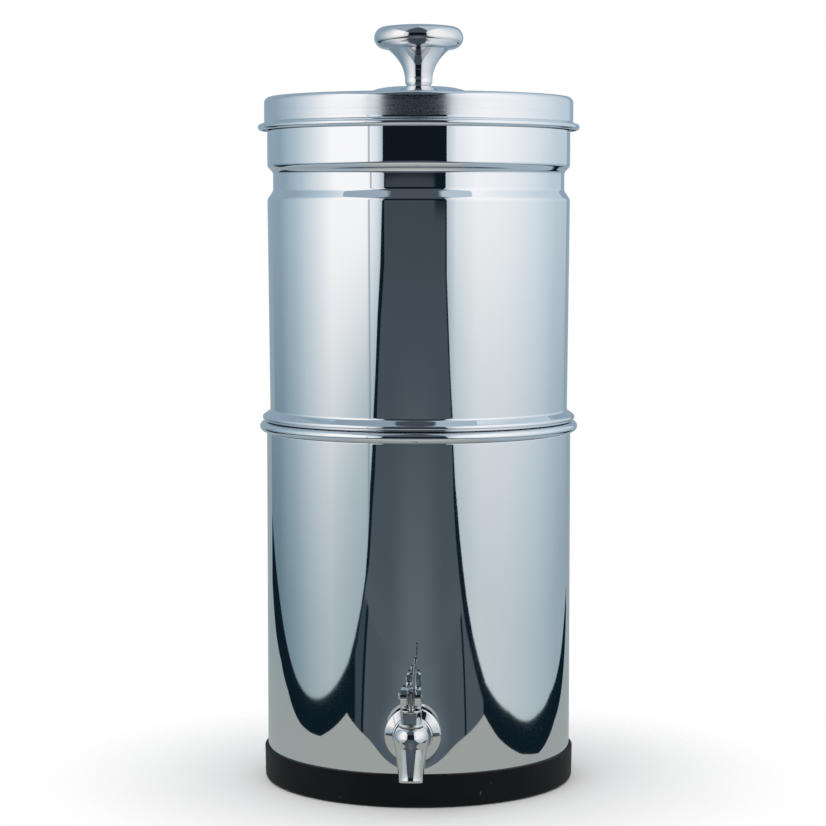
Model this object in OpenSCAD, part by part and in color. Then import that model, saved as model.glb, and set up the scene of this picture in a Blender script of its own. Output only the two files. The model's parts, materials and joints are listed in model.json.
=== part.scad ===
// Gravity water filter: two stacked sheet steel chambers, a lid with a knob, ceramic candles
// in the upper chamber and a lever tap on the lower one. The origin is the centre of the
// base's underside, +Z is up and the tap points towards -Y.

/* [Chambers] */
// Outside diameter of both chambers
body_d = 220; // [200:1:260]
// Thickness of the sheet steel
sheet_t = 0.8; // [0.6:0.1:1]
// Height of the lower chamber, floor to top of rim
lower_h = 254.3; // [220:1:320]
// Height of the upper chamber, bead to top of rim
upper_h = 227.8; // [225:0.2:300]
// Depth by which the upper chamber's floor drops below its bead
nest_h = 20; // [14:1:28]
// Radial gap between the nested part and the lower rim
nest_clear = 1.3; // [0.8:0.1:3]
// How much smaller in radius the upper chamber is at its bead
upper_taper = 1.5; // [0.5:0.1:2.5]
// How much less the upper chamber's radius is than the lower one's
upper_slim = 1; // [0:0.1:1.5]
// Outside corner radius of the chamber floors
floor_corner_r = 8; // [4:0.5:12]
// Radius of the lower chamber's rolled rim
rim_r = 3.5; // [3:0.1:5]
// How far the rolled rim stands proud of the wall
rim_out = 5; // [4:0.1:6]
// Radius of the upper chamber's seating bead
bead_r = 3.9; // [3:0.1:5]
// How far the seating bead stands proud of the wall
bead_out = 5.5; // [3.5:0.1:6]
// Radius of the inward curl at the upper chamber's rim
hem_r = 2.2; // [1.8:0.1:3]

/* [Groove] */
// Distance from the upper chamber's rim down to the middle of the groove
groove_drop = 59.2; // [50:0.2:80]
// Width of the groove's flat bottom
groove_w = 13; // [6:0.5:20]
// Depth of the groove
groove_deep = 4.1; // [2:0.1:6]
// Height of each sloping side of the groove
groove_slope = 6.2; // [4:0.2:9]
// Height of the slope above the groove
groove_brow = 4.2; // [4:0.2:9]

/* [Base ring] */
// Height of the base ring
base_h = 23.5; // [18:0.1:35]
// Wall of the base ring around the lower chamber
base_wall = 2.2; // [1.6:0.1:4]
// Height of the chamber's floor above the table
floor_lift = 6; // [5:0.5:12]
// Width of the web under the chamber's floor
base_web = 18; // [12:1:40]

/* [Lid] */
// Height of the lid, plate to bottom edge
lid_h = 23.8; // [18:0.2:40]
// Radial gap between lid and upper chamber
lid_clear = 1.3; // [0.8:0.1:2]
// Corner radius between the lid's plate and skirt
lid_corner_r = 4; // [2:0.5:8]
// Radius of the bead at the lid's edge
lid_bead_r = 2.3; // [2:0.1:4]
// How far the lid's bead stands proud of its skirt
lid_bead_out = 4.6; // [3:0.1:6]
// Diameter of the raised centre at its foot
dome_d = 98; // [80:1:140]
// Diameter of the raised centre's flat top
dome_top_d = 50; // [36:1:60]
// Height of the raised centre
dome_h = 7.6; // [2:0.2:10]

/* [Knob] */
// Diameter of the knob's head
knob_d = 64; // [50:1:80]
// Height of the knob
knob_h = 43.7; // [36:0.1:60]
// Smallest diameter of the knob's stem
knob_stem_d = 19.6; // [16:0.2:26]
// Radius of the rounding around the knob's head
knob_edge_r = 8; // [5:0.5:9]
// Thickness of the seal under the knob
knob_seal_t = 0.8; // [0.5:0.1:2]
// Diameter of the knob's screw
knob_screw_d = 6; // [4:0.5:8]
// Depth of the screw inside the knob
knob_screw_reach = 14; // [10:1:20]

/* [Candles] */
// Diameter of a ceramic candle
candle_d = 50; // [40:1:54]
// Height of a ceramic candle
candle_h = 160; // [100:1:180]
// Wall of a ceramic candle
candle_wall = 8; // [5:0.5:10]
// Diameter of the circle on which the floor holes lie
hole_circle_d = 104; // [90:1:116]
// Diameter of a candle's threaded outlet stem
stem_d = 12; // [10:0.5:14]
// Length of the outlet stem below its cap
stem_l = 34; // [30:1:40]
// Height of the cap under a candle
cap_h = 14; // [12:1:20]
// Thickness of the cap's floor
cap_floor_t = 5; // [3:0.5:8]
// Wall of the cap around its candle
cap_wall = 2; // [1.5:0.1:3]
// Diameter of the soft washers on the chamber floor
floor_washer_d = 26; // [22:1:32]
// Thickness of the soft washers on the chamber floor
floor_washer_t = 3; // [2:0.5:4]
// Height of a wing nut
wing_nut_h = 10; // [8:0.5:12]
// Distance between the wing tips
wing_span = 40; // [32:1:46]
// Diameter of the bore through each cap and stem
outlet_d = 6; // [4:0.5:7]

/* [Tap body] */
// Height of the tap's shank above the table
tap_z = 51.6; // [44:0.2:90]
// Distance from the chamber wall to the tap's upright axis
tap_reach = 30; // [28:0.5:40]
// Diameter of the threaded shank
shank_d = 15.8; // [14:0.2:17]
// Radial gap around the shank in the chamber wall
shank_clear = 0.3; // [0.2:0.1:0.6]
// Diameter of the escutcheon
escutcheon_d = 39; // [36:0.5:46]
// Thickness of the escutcheon
escutcheon_t = 3.2; // [2.4:0.1:5]
// Diameter of the outer gasket
gasket_d = 34; // [30:0.5:35]
// Thickness of the gaskets at their middle
gasket_t = 2.6; // [2:0.1:4]
// Diameter of the tap's flange
flange_d = 27.5; // [24:0.5:30]
// Thickness of the tap's flange
flange_t = 3; // [2:0.5:5]
// Diameter of the neck between flange and spout
neck_d = 19; // [17:0.5:21]
// Diameter of the tap body at its shoulder
shoulder_d = 23.4; // [22:0.2:26]
// Outside diameter at the spout's mouth
mouth_d = 17.2; // [16.4:0.2:20]
// Bore of the spout's mouth
spout_bore_d = 13; // [11:0.5:13.5]
// Height from the mouth up to the shank's axis
mouth_drop = 26.6; // [24:0.2:34]
// Lean of the spout away from the wall, in degrees
spout_lean = 12; // [0:1:18]
// Diameter of the water way through the shank
water_way_d = 8; // [6:0.5:8]

/* [Valve and lever] */
// Lift of the valve when the lever is fully open
valve_lift = 3; // [2:0.1:3.5]
// Turn of the lever from closed to fully open, in degrees
lever_travel = 85; // [60:5:85]
// Height of the lever's pin above the bonnet
pin_rise = 9; // [8:0.1:11]
// Diameter of the lever's pin
pin_d = 2.4; // [2:0.1:2.6]
// Diameter of the valve stem
valve_stem_d = 5; // [4.6:0.1:5.4]
// Diameter of the bonnet's tower
bonnet_d = 14.3; // [13.6:0.1:16]
// Height of the bonnet above the tap body
bonnet_h = 12.5; // [11:0.1:16]
// Overall width of the lever's fork
fork_w = 13.8; // [13:0.1:16]
// Width of the gap between the fork's legs
fork_gap = 5.6; // [5.4:0.1:6]
// Width of the boss on top of the fork
boss_w = 4.4; // [3:0.2:5]
// Height of the boss above the fork
boss_h = 3.2; // [2:0.2:5]
// Length of the lever's blade above the fork
blade_l = 19; // [14:0.5:40]
// Thickness of the lever's blade
blade_t = 2.8; // [1.6:0.1:3]
// Front-to-back width of the lever's blade
blade_w = 9; // [6:0.5:12]

/* [Fits] */
// Gap between two curved faces that rest on each other
rest_gap = 0.3; // [0.2:0.05:0.5]
// Radial gap of a running fit
run_fit = 0.05; // [0.02:0.01:0.1]
// Radial gap of a screwed or pushed fit
snug_fit = 0.05; // [0.02:0.01:0.1]
// Gap between the base ring and the chamber
base_fit = 0.1; // [0.05:0.05:0.3]

/* [Hidden] */

steel = "gainsboro";
black = "#1b1c1e";
ceramic = "ivory";
plastic = "dimgray";
silicone = "whitesmoke";

round_fn = 128;
wall_fn = 360;
small_fn = 48;
through = 1;

// Chambers
wall_r = body_d / 2;
wall_in = wall_r - sheet_t;
upper_r = wall_r - upper_slim;
rim_c = [wall_r + rim_out - rim_r, floor_lift + lower_h - rim_r];
rim_start = 172;
rim_end = -100;
rim_jog = 1;
rim_jog_r = 1.5;
bead_wall_r = upper_r - upper_taper;
bead_x = bead_wall_r + bead_out - bead_r;
seat_reach = rim_r + bead_r + rest_gap;
bead_c = [bead_x, rim_c.y + sqrt(pow(seat_reach, 2) - pow(rim_c.x - bead_x, 2))];
bead_leave = 45;
lid_bead_leave = 70;
bead_start = -100;
bead_round = 1.2;
shoulder_rise = 1.4;
nest_r = rim_c.x - rim_r - nest_clear;
nest_corner_r = 5;
upper_floor = bead_c.y - nest_h;
upper_floor_top = upper_floor + sheet_t;
upper_top = bead_c.y + upper_h;
groove_z = upper_top - groove_drop;
groove_round = 2;
hem_start = 15;
hem_end = 230;

// Base ring
base_r = wall_r + base_fit + base_wall;
base_corner_r = 3;
base_top_r = 0.8;
base_draft = 0.5;

// Lid and knob
lid_top = upper_top + rest_gap + sheet_t;
lid_r = upper_r + lid_clear + sheet_t;
lid_bead_c = [lid_r + lid_bead_out - lid_bead_r, lid_top - lid_h + lid_bead_r];
dome_blend_r = 50;
dome_top = lid_top + dome_h;
knob_z = dome_top + knob_seal_t;
knob_foot_h = 2;
knob_foot_in = 1.2;
knob_flare_power = 2.4;
knob_crown_h = 1.5;
knob_seal_d = 15;
knob_washer_d = 16;
knob_washer_t = 1.2;
screw_head_d = 2 * knob_screw_d;
screw_head_h = 0.6 * knob_screw_d;
screw_end_gap = 1.5;

// Candles
candle_x = hole_circle_d / 2;
hole_clear = 0.5;
cap_z = upper_floor_top + floor_washer_t;
candle_z = cap_z + cap_floor_t;
plug_head_d = 24;
plug_head_h = 4;
plug_l = 22;
wing_hub_d = 20;
wing_t = 3;
wing_tip_r = 2;
wing_tip_w = 6;
wing_rise = 4;
wing_root_x = wing_hub_d / 2 - 2;

// Tap, measured along the shank
tap_y = -(wall_r + tap_reach);
gasket_y = -(wall_r + gasket_t);
flange_y = gasket_y - escutcheon_t;
shank_in = 20;
inner_gasket_y = -wall_in + gasket_t;
tap_washer_t = 1.5;
lock_nut_t = 7;
lock_nut_w = 24;
gasket_in_d = 28;
bevel = 2;
bevel_slope = 2.75;
washer_bevel = 0.2;

// Tap, measured up its upright axis
mouth_z = tap_z - mouth_drop;
shoulder_z = tap_z + 2.4;
body_top = tap_z + 10.9;
body_top_r = bonnet_d / 2 + 0.9;
horn_start = mouth_z + 3;
lip_r = 1.5;
horn_power = 1.25;
horn_in = 0.6;
horn_top = 1.5;
seat_z = tap_z - 5.4;
orifice_r = 3.6;
orifice_z = seat_z - 4;
chamber_r = 6;
seat_washer_t = 3;
seat_washer_r = chamber_r - 0.4;

// Bonnet
seal_t = 0.8;
bonnet_z = body_top + seal_t;
bonnet_top = bonnet_z + bonnet_h - seal_t;
bonnet_spigot_r = chamber_r + 0.25;
bonnet_spigot_l = 5.5;
bonnet_flange_h = 1.1;
bonnet_lip_h = 1.6;
bonnet_lip_out = 0.2;
bonnet_edge = 0.3;
spring_r = 4.3;
spring_wire_r = 0.4;
spring_clear = 0.4;
cavity_r = spring_r + spring_wire_r / 2 + spring_clear;
cavity_top = bonnet_top - 5.5;
ring_r = 0.9;
ring_drop = 2.8;

// Stem and lever
stem_r = valve_stem_d / 2;
pin_r = pin_d / 2;
pin_z = bonnet_top + pin_rise;
tongue_t = fork_gap - 1;
stem_collar_r = 4.6;
stem_collar_h = 1.5;
stem_over_pin = 2.6;
stem_chamfer = 0.8;
seat_spigot_r = 1.5;
seat_screw_head_r = 2.8;
seat_screw_head_h = 1.6;
seat_screw_reach = 8;
cam_low = pin_rise - rest_gap;
cam_rate = valve_lift / (lever_travel * PI / 180);
cam_flat = 3;
leg_top = 7;
leg_half = 5;
leg_round = 2.6;
fork_shoulder_r = 2.2;
bridge_low = 4.2;
bridge_round = 1.2;
boss_x = -1.4;
boss_half = 3.2;
boss_round = 1.6;
blade_x = 2.1;
blade_lean = 1;
blade_tip = 0.8;
blade_root = blade_w / 2 - 0.45;
blade_round = 3;
pin_head_r = 2.4;
pin_head_t = 1.8;
pin_tail = 0.5;

// Points of an arc about c, from angle a0 to a1
function arc(c, r, a0, a1, n = 8) = [
    for (i = [0:n]) let (a = a0 + (a1 - a0) * i / n) c + r * [cos(a), sin(a)]
];

function unit(v) = v / norm(v);
function heading(v) = atan2(v.y, v.x);
function flat(p) = [p.x, p.y];
function reversed(list) = [for (i = [len(list) - 1:-1:0]) list[i]];

// The corner at p, between a and b, rounded to radius r
function corner(a, p, b, r, n) =
    let (
        u = unit(a - p),
        v = unit(b - p),
        half = acos(u * v) / 2,
        c = p + unit(u + v) * r / sin(half),
        from = heading(p + u * r / tan(half) - c),
        turn = sign(v.x * u.y - v.y * u.x) * (180 - 2 * half)
    ) arc(c, r, from, from + turn, n);

// A path of [x, y, radius] points with its inner corners rounded
function rounded(path, n = 4) = [
    for (i = [0:len(path) - 1])
        let (r = path[i][2])
        each r == undef
            ? [flat(path[i])]
            : corner(flat(path[i - 1]), flat(path[i]), flat(path[i + 1]), r, n)
];

// The step that moves point i of a path sideways by one thickness
function sideways(path, i) =
    let (
        a = unit(path[max(i, 1)] - path[max(i, 1) - 1]),
        k = min(i, len(path) - 2),
        b = unit(path[k + 1] - path[k])
    ) [-(a.y + b.y), a.x + b.x] / (1 + a * b);

// The section of a sheet that lies t to the left of a path
function sheet(path, t) = concat(
    path,
    reversed([for (i = [0:len(path) - 1]) path[i] + t * sideways(path, i)])
);

// The cam's edge when the lever has turned by a: its distance below the pin grows evenly
function cam_point(a) =
    let (h = cam_low + cam_rate * a * PI / 180)
    [-h * sin(a) - cam_rate * cos(a), -h * cos(a) + cam_rate * sin(a)];

// Where a bead of radius r about c runs straight back to a wall
function bead_foot(c, r, wall, leave) =
    let (p = c + r * [cos(leave), sin(leave)])
    [wall, p.y + (p.x - wall) / tan(leave)];

module turned(points, fn = round_fn) rotate_extrude($fn = fn) polygon(points);

// A cylinder along Y, from y0 to y1 at height z
module rod_y(r, y0, y1, z, fn = small_fn)
    translate([0, y1, z]) rotate([90, 0, 0]) cylinder(r = r, h = y1 - y0, $fn = fn);

// A cylinder along X, from x0 to x1, at the lever's pin
module rod_x(r, x0, x1)
    translate([x0, tap_y, pin_z]) rotate([0, 90, 0]) cylinder(r = r, h = x1 - x0, $fn = small_fn);

// A plate across X whose outline is given in Y and Z
module plate_x(x0, x1, points)
    translate([x0, 0, 0]) rotate([90, 0, 90]) linear_extrude(x1 - x0) polygon(points);

// A plate across Y whose outline is given in X and Z
module plate_y(y0, y1, points)
    translate([0, y1, 0]) rotate([90, 0, 0]) linear_extrude(y1 - y0) polygon(points);

module at_tap_axis() translate([0, tap_y, 0]) children();

// The spout leans away from the wall about the middle of the tap's shoulder
module leaning()
    translate([0, tap_y, shoulder_z]) rotate([-spout_lean, 0, 0])
        translate([0, 0, -shoulder_z]) children();

module at_pin() translate([0, tap_y, pin_z]) children();

module at_holes(angles)
    for (a = angles)
        rotate(a) translate([candle_x, 0, 0]) children();

module base_ring() {
    seat = [wall_r - floor_corner_r, floor_lift + floor_corner_r];
    outside = rounded([
        [wall_r - base_web, 0],
        [base_r - base_draft, 0, base_corner_r],
        [base_r, base_h, base_top_r],
        [wall_r + base_fit, base_h]
    ]);
    color(black) turned(concat(
        outside,
        arc(seat, floor_corner_r + base_fit, 0, -80),
        [[seat.x - base_fit, floor_lift], [wall_r - base_web, floor_lift]]
    ));
}

module lower_chamber() {
    skin_r = rim_r - sheet_t;
    wall = rounded([
        [0, floor_lift],
        [wall_r, floor_lift, floor_corner_r],
        [wall_r, rim_c.y - rim_r - rim_jog, rim_jog_r],
        [rim_c.x - skin_r, rim_c.y]
    ], 6);
    roll = arc(rim_c, skin_r, rim_start, rim_end, 20);
    color(steel) difference() {
        turned(sheet(concat(wall, roll), sheet_t));
        rod_y(shank_d / 2 + shank_clear, -wall_r - through, -wall_r / 2, tap_z);
    }
}

module upper_chamber() {
    bead = arc(bead_c, bead_r, bead_start, bead_leave, 14);
    hem_c = [upper_r - hem_r, upper_top - hem_r];
    low = groove_z - groove_w / 2;
    high = groove_z + groove_w / 2;
    groove_r = upper_r - groove_deep;
    floor_part = rounded([
        [0, upper_floor],
        [nest_r, upper_floor, nest_corner_r],
        [nest_r, bead[0].y - shoulder_rise, bead_round],
        bead[0]
    ]);
    wall_part = rounded([
        bead[len(bead) - 1],
        concat(bead_foot(bead_c, bead_r, bead_wall_r, bead_leave), bead_round),
        [upper_r, low - groove_slope, groove_round],
        [groove_r, low, groove_round],
        [groove_r, high, groove_round],
        [upper_r, high + groove_brow, groove_round],
        [upper_r, hem_c.y]
    ]);
    skin = concat(
        floor_part,
        [for (i = [1:len(bead) - 2]) bead[i]],
        wall_part,
        arc(hem_c, hem_r, hem_start, hem_end, 14)
    );
    color(steel) difference() {
        turned(sheet(skin, sheet_t));
        at_holes([0:90:270])
            translate([0, 0, upper_floor - through])
                cylinder(d = stem_d + hole_clear, h = sheet_t + 2 * through, $fn = small_fn);
    }
}

module lid() {
    bead = arc(lid_bead_c, lid_bead_r, lid_bead_leave, bead_start, 14);
    plate = rounded([
        [knob_screw_d / 2 + hole_clear, dome_top],
        [dome_top_d / 2, dome_top, dome_blend_r],
        [dome_d / 2, lid_top, dome_blend_r],
        [lid_r, lid_top, lid_corner_r],
        concat(bead_foot(lid_bead_c, lid_bead_r, lid_r, lid_bead_leave), bead_round),
        bead[0]
    ], 6);
    color(steel)
        turned(sheet(concat(plate, [for (i = [1:len(bead) - 1]) bead[i]]), -sheet_t));
}

module knob() {
    stem = knob_stem_d / 2;
    edge_c = [knob_d / 2 - knob_edge_r, knob_h - knob_crown_h - knob_edge_r];
    under = edge_c + knob_edge_r * [cos(-100), sin(-100)];
    flare = [
        for (i = [0:12])
            let (s = i / 12)
            [
                stem + (under.x - stem) * pow(s, knob_flare_power),
                knob_foot_h + (under.y - knob_foot_h) * s
            ]
    ];
    edge = arc(edge_c, knob_edge_r, -90, 80, 14);
    brow = edge[len(edge) - 1];
    crown = [
        for (i = [3:-1:0])
            let (s = i / 4)
            [brow.x * s, knob_h - (knob_h - brow.y) * s * s]
    ];
    hole_r = knob_screw_d / 2 + snug_fit;
    hole_top = knob_screw_reach + screw_end_gap;
    color(steel) translate([0, 0, knob_z]) turned(concat(
        [[hole_r, 0], [stem - knob_foot_in, 0]],
        flare,
        edge,
        crown,
        [[0, hole_top], [hole_r, hole_top]]
    ), 96);
}

module knob_seal() {
    color(silicone) translate([0, 0, dome_top])
        ring(knob_seal_d / 2, knob_screw_d / 2 + hole_clear, knob_seal_t);
}

module ring(outer, inner, h, fn = small_fn) difference() {
    cylinder(r = outer, h = h, $fn = fn);
    translate([0, 0, -through]) cylinder(r = inner, h = h + 2 * through, $fn = fn);
}

module knob_screw_washer() {
    color(steel) translate([0, 0, dome_top - sheet_t - knob_washer_t])
        ring(knob_washer_d / 2, knob_screw_d / 2 + hole_clear, knob_washer_t);
}

module knob_screw() {
    head_top = dome_top - sheet_t - knob_washer_t;
    slot = knob_screw_d / 5;
    color(steel) difference() {
        union() {
            translate([0, 0, head_top - screw_head_h])
                cylinder(d = screw_head_d, h = screw_head_h, $fn = small_fn);
            translate([0, 0, head_top - through])
                cylinder(d = knob_screw_d, h = through + knob_z + knob_screw_reach - head_top,
                         $fn = small_fn);
        }
        translate([-screw_head_d, -slot / 2, head_top - screw_head_h - through])
            cube([2 * screw_head_d, slot, through + screw_head_h / 2]);
    }
}

module candle() {
    outer = candle_d / 2;
    inner = outer - candle_wall;
    color(ceramic) translate([0, 0, candle_z]) turned(concat(
        [[inner, 0], [outer, 0]],
        arc([0, candle_h - outer], outer, 0, 90, 12),
        reversed(arc([0, candle_h - outer], inner, 0, 90, 10))
    ), 64);
}

module candle_cap() {
    cup_in = candle_d / 2 + snug_fit;
    cup_out = cup_in + cap_wall;
    color(plastic) translate([0, 0, cap_z]) turned(concat(
        [[outlet_d / 2, -stem_l], [stem_d / 2 - 1, -stem_l], [stem_d / 2, 1 - stem_l], [stem_d / 2, 0]],
        rounded([[stem_d / 2, 0], [cup_out, 0, 2], [cup_out, cap_h]]),
        [[cup_in, cap_h], [cup_in, cap_floor_t], [outlet_d / 2, cap_floor_t]]
    ), 64);
}

module candle_left() rotate(180) at_holes([0]) candle();

module candle_right() at_holes([0]) candle();

module candle_cap_left() rotate(180) at_holes([0]) candle_cap();

module candle_cap_right() at_holes([0]) candle_cap();

module floor_washers() {
    color(silicone) at_holes([0:90:270]) translate([0, 0, upper_floor_top])
        ring(floor_washer_d / 2, stem_d / 2 + snug_fit, floor_washer_t);
}

// Outline of one wing, from the hub out to its raised tip
function wing(side) = [
    for (p = rounded([
        [wing_root_x, 0],
        [wing_span / 2, 0, wing_tip_r],
        [wing_span / 2, wing_nut_h + wing_rise, wing_tip_r],
        [wing_span / 2 - wing_tip_w, wing_nut_h + wing_rise, wing_tip_r],
        [wing_root_x, wing_nut_h]
    ])) [side * p.x, -p.y]
];

module wing_nuts() {
    color(plastic) at_holes([0:90:270]) translate([0, 0, upper_floor]) difference() {
        union() {
            translate([0, 0, -wing_nut_h]) cylinder(d = wing_hub_d, h = wing_nut_h, $fn = small_fn);
            for (side = [-1, 1])
                plate_y(-wing_t / 2, wing_t / 2, wing(side));
        }
        translate([0, 0, -wing_nut_h - through])
            cylinder(r = stem_d / 2 + snug_fit, h = wing_nut_h + 2 * through, $fn = small_fn);
    }
}

module blanking_plugs() {
    color(plastic) at_holes([90, 270]) translate([0, 0, cap_z]) turned(rounded([
        [0, -plug_l],
        [stem_d / 2, -plug_l, 1],
        [stem_d / 2, 0],
        [plug_head_d / 2, 0],
        [plug_head_d / 2, plug_head_h, 1.5],
        [0, plug_head_h]
    ]), small_fn);
}

module tap_outer_gasket() {
    color(black) difference() {
        rod_y(gasket_d / 2, gasket_y, -wall_r / 2, tap_z);
        rod_y(shank_d / 2 + snug_fit, gasket_y - through, 0, tap_z);
        cylinder(r = wall_r + snug_fit, h = 4 * tap_z, $fn = wall_fn);
    }
}

module tap_inner_gasket() {
    color(black) intersection() {
        difference() {
            rod_y(gasket_in_d / 2, -wall_r - through, inner_gasket_y, tap_z);
            rod_y(shank_d / 2 + snug_fit, -wall_r - 2 * through, 0, tap_z);
        }
        cylinder(r = wall_in - snug_fit, h = 4 * tap_z, $fn = wall_fn);
    }
}

// A ring along Y between y0 and y1, with its front edge bevelled
module collar_y(r, hole_r, y0, y1, cut) {
    translate([0, y1, tap_z]) rotate([90, 0, 0]) turned([
        [hole_r, 0], [r, 0], [r, y1 - y0 - cut], [r - bevel_slope * cut, y1 - y0], [hole_r, y1 - y0]
    ], 96);
}

module tap_escutcheon() {
    color(steel) collar_y(escutcheon_d / 2, shank_d / 2 + snug_fit, flange_y, gasket_y, bevel);
}

module tap_washer() {
    y0 = inner_gasket_y;
    color(steel) collar_y(gasket_in_d / 2 - 1, shank_d / 2 + snug_fit, y0, y0 + tap_washer_t,
                          washer_bevel);
}

module tap_lock_nut() {
    y0 = inner_gasket_y + tap_washer_t;
    color(steel) difference() {
        translate([0, y0 + lock_nut_t, tap_z]) rotate([90, 0, 0])
            cylinder(d = lock_nut_w / cos(30), h = lock_nut_t, $fn = 6);
        rod_y(shank_d / 2 + snug_fit, y0 - through, y0 + lock_nut_t + through, tap_z);
    }
}

module tap_body() {
    mouth = mouth_d / 2;
    shoulder = shoulder_d / 2;
    // the horn ends inside the ball, so that the two cross at a clear angle
    horn = [
        for (i = [0:10])
            let (s = i / 12)
            [
                mouth + (shoulder - mouth) * pow(s, horn_power),
                horn_start + (shoulder_z - horn_start) * s
            ]
    ];
    dome = [
        for (i = [1:6])
            let (a = 90 * i / 6)
            [
                body_top_r + (shoulder - body_top_r) * cos(a),
                shoulder_z + (body_top - shoulder_z) * sin(a)
            ]
    ];
    color(steel) difference() {
        union() {
            at_tap_axis() turned(concat(arc([0, shoulder_z], shoulder, -90, 0), dome,
                                        [[0, body_top]]), 96);
            leaning() turned(concat(
                [[0, mouth_z]],
                arc([mouth - lip_r, mouth_z + lip_r], lip_r, -90, 0, 5),
                horn,
                [[shoulder - horn_in, shoulder_z - horn_top],
                 [0, shoulder_z - horn_top]]
            ), 96);
            rod_y(neck_d / 2, tap_y, flange_y, tap_z);
            rod_y(flange_d / 2, flange_y - flange_t, flange_y, tap_z, 96);
            rod_y(shank_d / 2, flange_y - flange_t, inner_gasket_y + shank_in, tap_z);
        }
        leaning() bore(spout_bore_d / 2, mouth_z - through, orifice_z);
        at_tap_axis() {
            bore(orifice_r, orifice_z - 1.6 * through, seat_z + through);
            bore(chamber_r, seat_z, body_top);
            bore(bonnet_spigot_r + snug_fit, body_top - bonnet_spigot_l, body_top + through);
        }
        rod_y(water_way_d / 2, tap_y, inner_gasket_y + shank_in + through, tap_z);
    }
}

module bore(r, z0, z1) translate([0, 0, z0]) cylinder(r = r, h = z1 - z0, $fn = small_fn);

module bonnet_seal() {
    color(black) at_tap_axis() translate([0, 0, body_top])
        ring(body_top_r, bonnet_spigot_r + snug_fit, seal_t);
}

module tap_bonnet() {
    tower = bonnet_d / 2;
    guide = stem_r + run_fit;
    ring_z = bonnet_top - ring_drop;
    groove_half = ring_r + run_fit;
    groove_in = stem_r + 2 * ring_r + 3 * run_fit;
    color(steel) at_tap_axis() turned([
        [cavity_r, body_top - bonnet_spigot_l],
        [bonnet_spigot_r, body_top - bonnet_spigot_l],
        [bonnet_spigot_r, bonnet_z],
        [body_top_r, bonnet_z],
        [body_top_r, bonnet_z + bonnet_flange_h],
        [tower, bonnet_z + bonnet_flange_h + 2 * bonnet_edge],
        [tower, bonnet_top - bonnet_lip_h],
        [tower + bonnet_lip_out, bonnet_top - bonnet_lip_h + bonnet_edge],
        [tower + bonnet_lip_out, bonnet_top - bonnet_edge],
        [tower - bonnet_edge, bonnet_top],
        [guide, bonnet_top],
        [guide, ring_z + groove_half],
        [groove_in, ring_z + groove_half],
        [groove_in, ring_z - groove_half],
        [guide, ring_z - groove_half],
        [guide, cavity_top],
        [cavity_r, cavity_top]
    ], 64);
}

module stem_o_ring() {
    color(black) at_tap_axis() translate([0, 0, bonnet_top - ring_drop])
        rotate_extrude($fn = small_fn)
            translate([stem_r + ring_r + 2 * run_fit, 0]) circle(r = ring_r, $fn = 24);
}

// A coil spring between the stem's collar and the top of the bonnet's cavity
module valve_spring() {
    turns = 7;
    sides = 6;
    steps = 12;
    low = seat_z + seat_washer_t + stem_collar_h + spring_wire_r + run_fit;
    rise = cavity_top - spring_wire_r - run_fit - low;
    last = turns * steps;
    points = [
        for (i = [0:last], k = [0:sides - 1])
            let (
                a = 360 * i / steps,
                b = 360 * k / sides,
                r = spring_r - spring_wire_r + spring_wire_r * cos(b)
            )
            [r * cos(a), r * sin(a), low + rise * i / last + spring_wire_r * sin(b)]
    ];
    skin = [
        for (i = [0:last - 1], k = [0:sides - 1])
            let (n = (k + 1) % sides)
            [i * sides + k, i * sides + n, (i + 1) * sides + n, (i + 1) * sides + k]
    ];
    ends = [
        [for (k = [sides - 1:-1:0]) k],
        [for (k = [0:sides - 1]) last * sides + k]
    ];
    color(steel) at_tap_axis() polyhedron(points, [for (f = concat(skin, ends)) reversed(f)]);
}

module valve_stem() {
    collar_z = seat_z + seat_washer_t;
    top = pin_z + stem_over_pin;
    spigot_z = collar_z - seat_washer_t + run_fit;
    color(steel) difference() {
        at_tap_axis() intersection() {
            turned([
                [0, spigot_z],
                [seat_spigot_r + 1, spigot_z],
                [seat_spigot_r + 1, collar_z],
                [stem_collar_r, collar_z],
                [stem_collar_r, collar_z + stem_collar_h],
                [stem_r, collar_z + stem_collar_h],
                [stem_r, top - stem_chamfer],
                [stem_r - stem_chamfer, top],
                [0, top]
            ], small_fn);
            union() {
                bore(2 * chamber_r, spigot_z - through, bonnet_top + valve_lift);
                translate([-tongue_t / 2, -stem_r - through, bonnet_top])
                    cube([tongue_t, 2 * (stem_r + through), pin_rise + 2 * stem_over_pin]);
            }
        }
        rod_x(pin_r + run_fit, -fork_w, fork_w);
        at_tap_axis()
            bore(seat_spigot_r + snug_fit, spigot_z - through, seat_z + seat_screw_reach + 1);
    }
}

module seat_washer() {
    color(silicone) at_tap_axis() translate([0, 0, seat_z])
        ring(seat_washer_r, seat_spigot_r + 1 + snug_fit, seat_washer_t);
}

module seat_screw() {
    color(steel) at_tap_axis() union() {
        bore(seat_screw_head_r, seat_z - seat_screw_head_h, seat_z);
        bore(seat_spigot_r, seat_z - through, seat_z + seat_screw_reach);
    }
}

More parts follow.
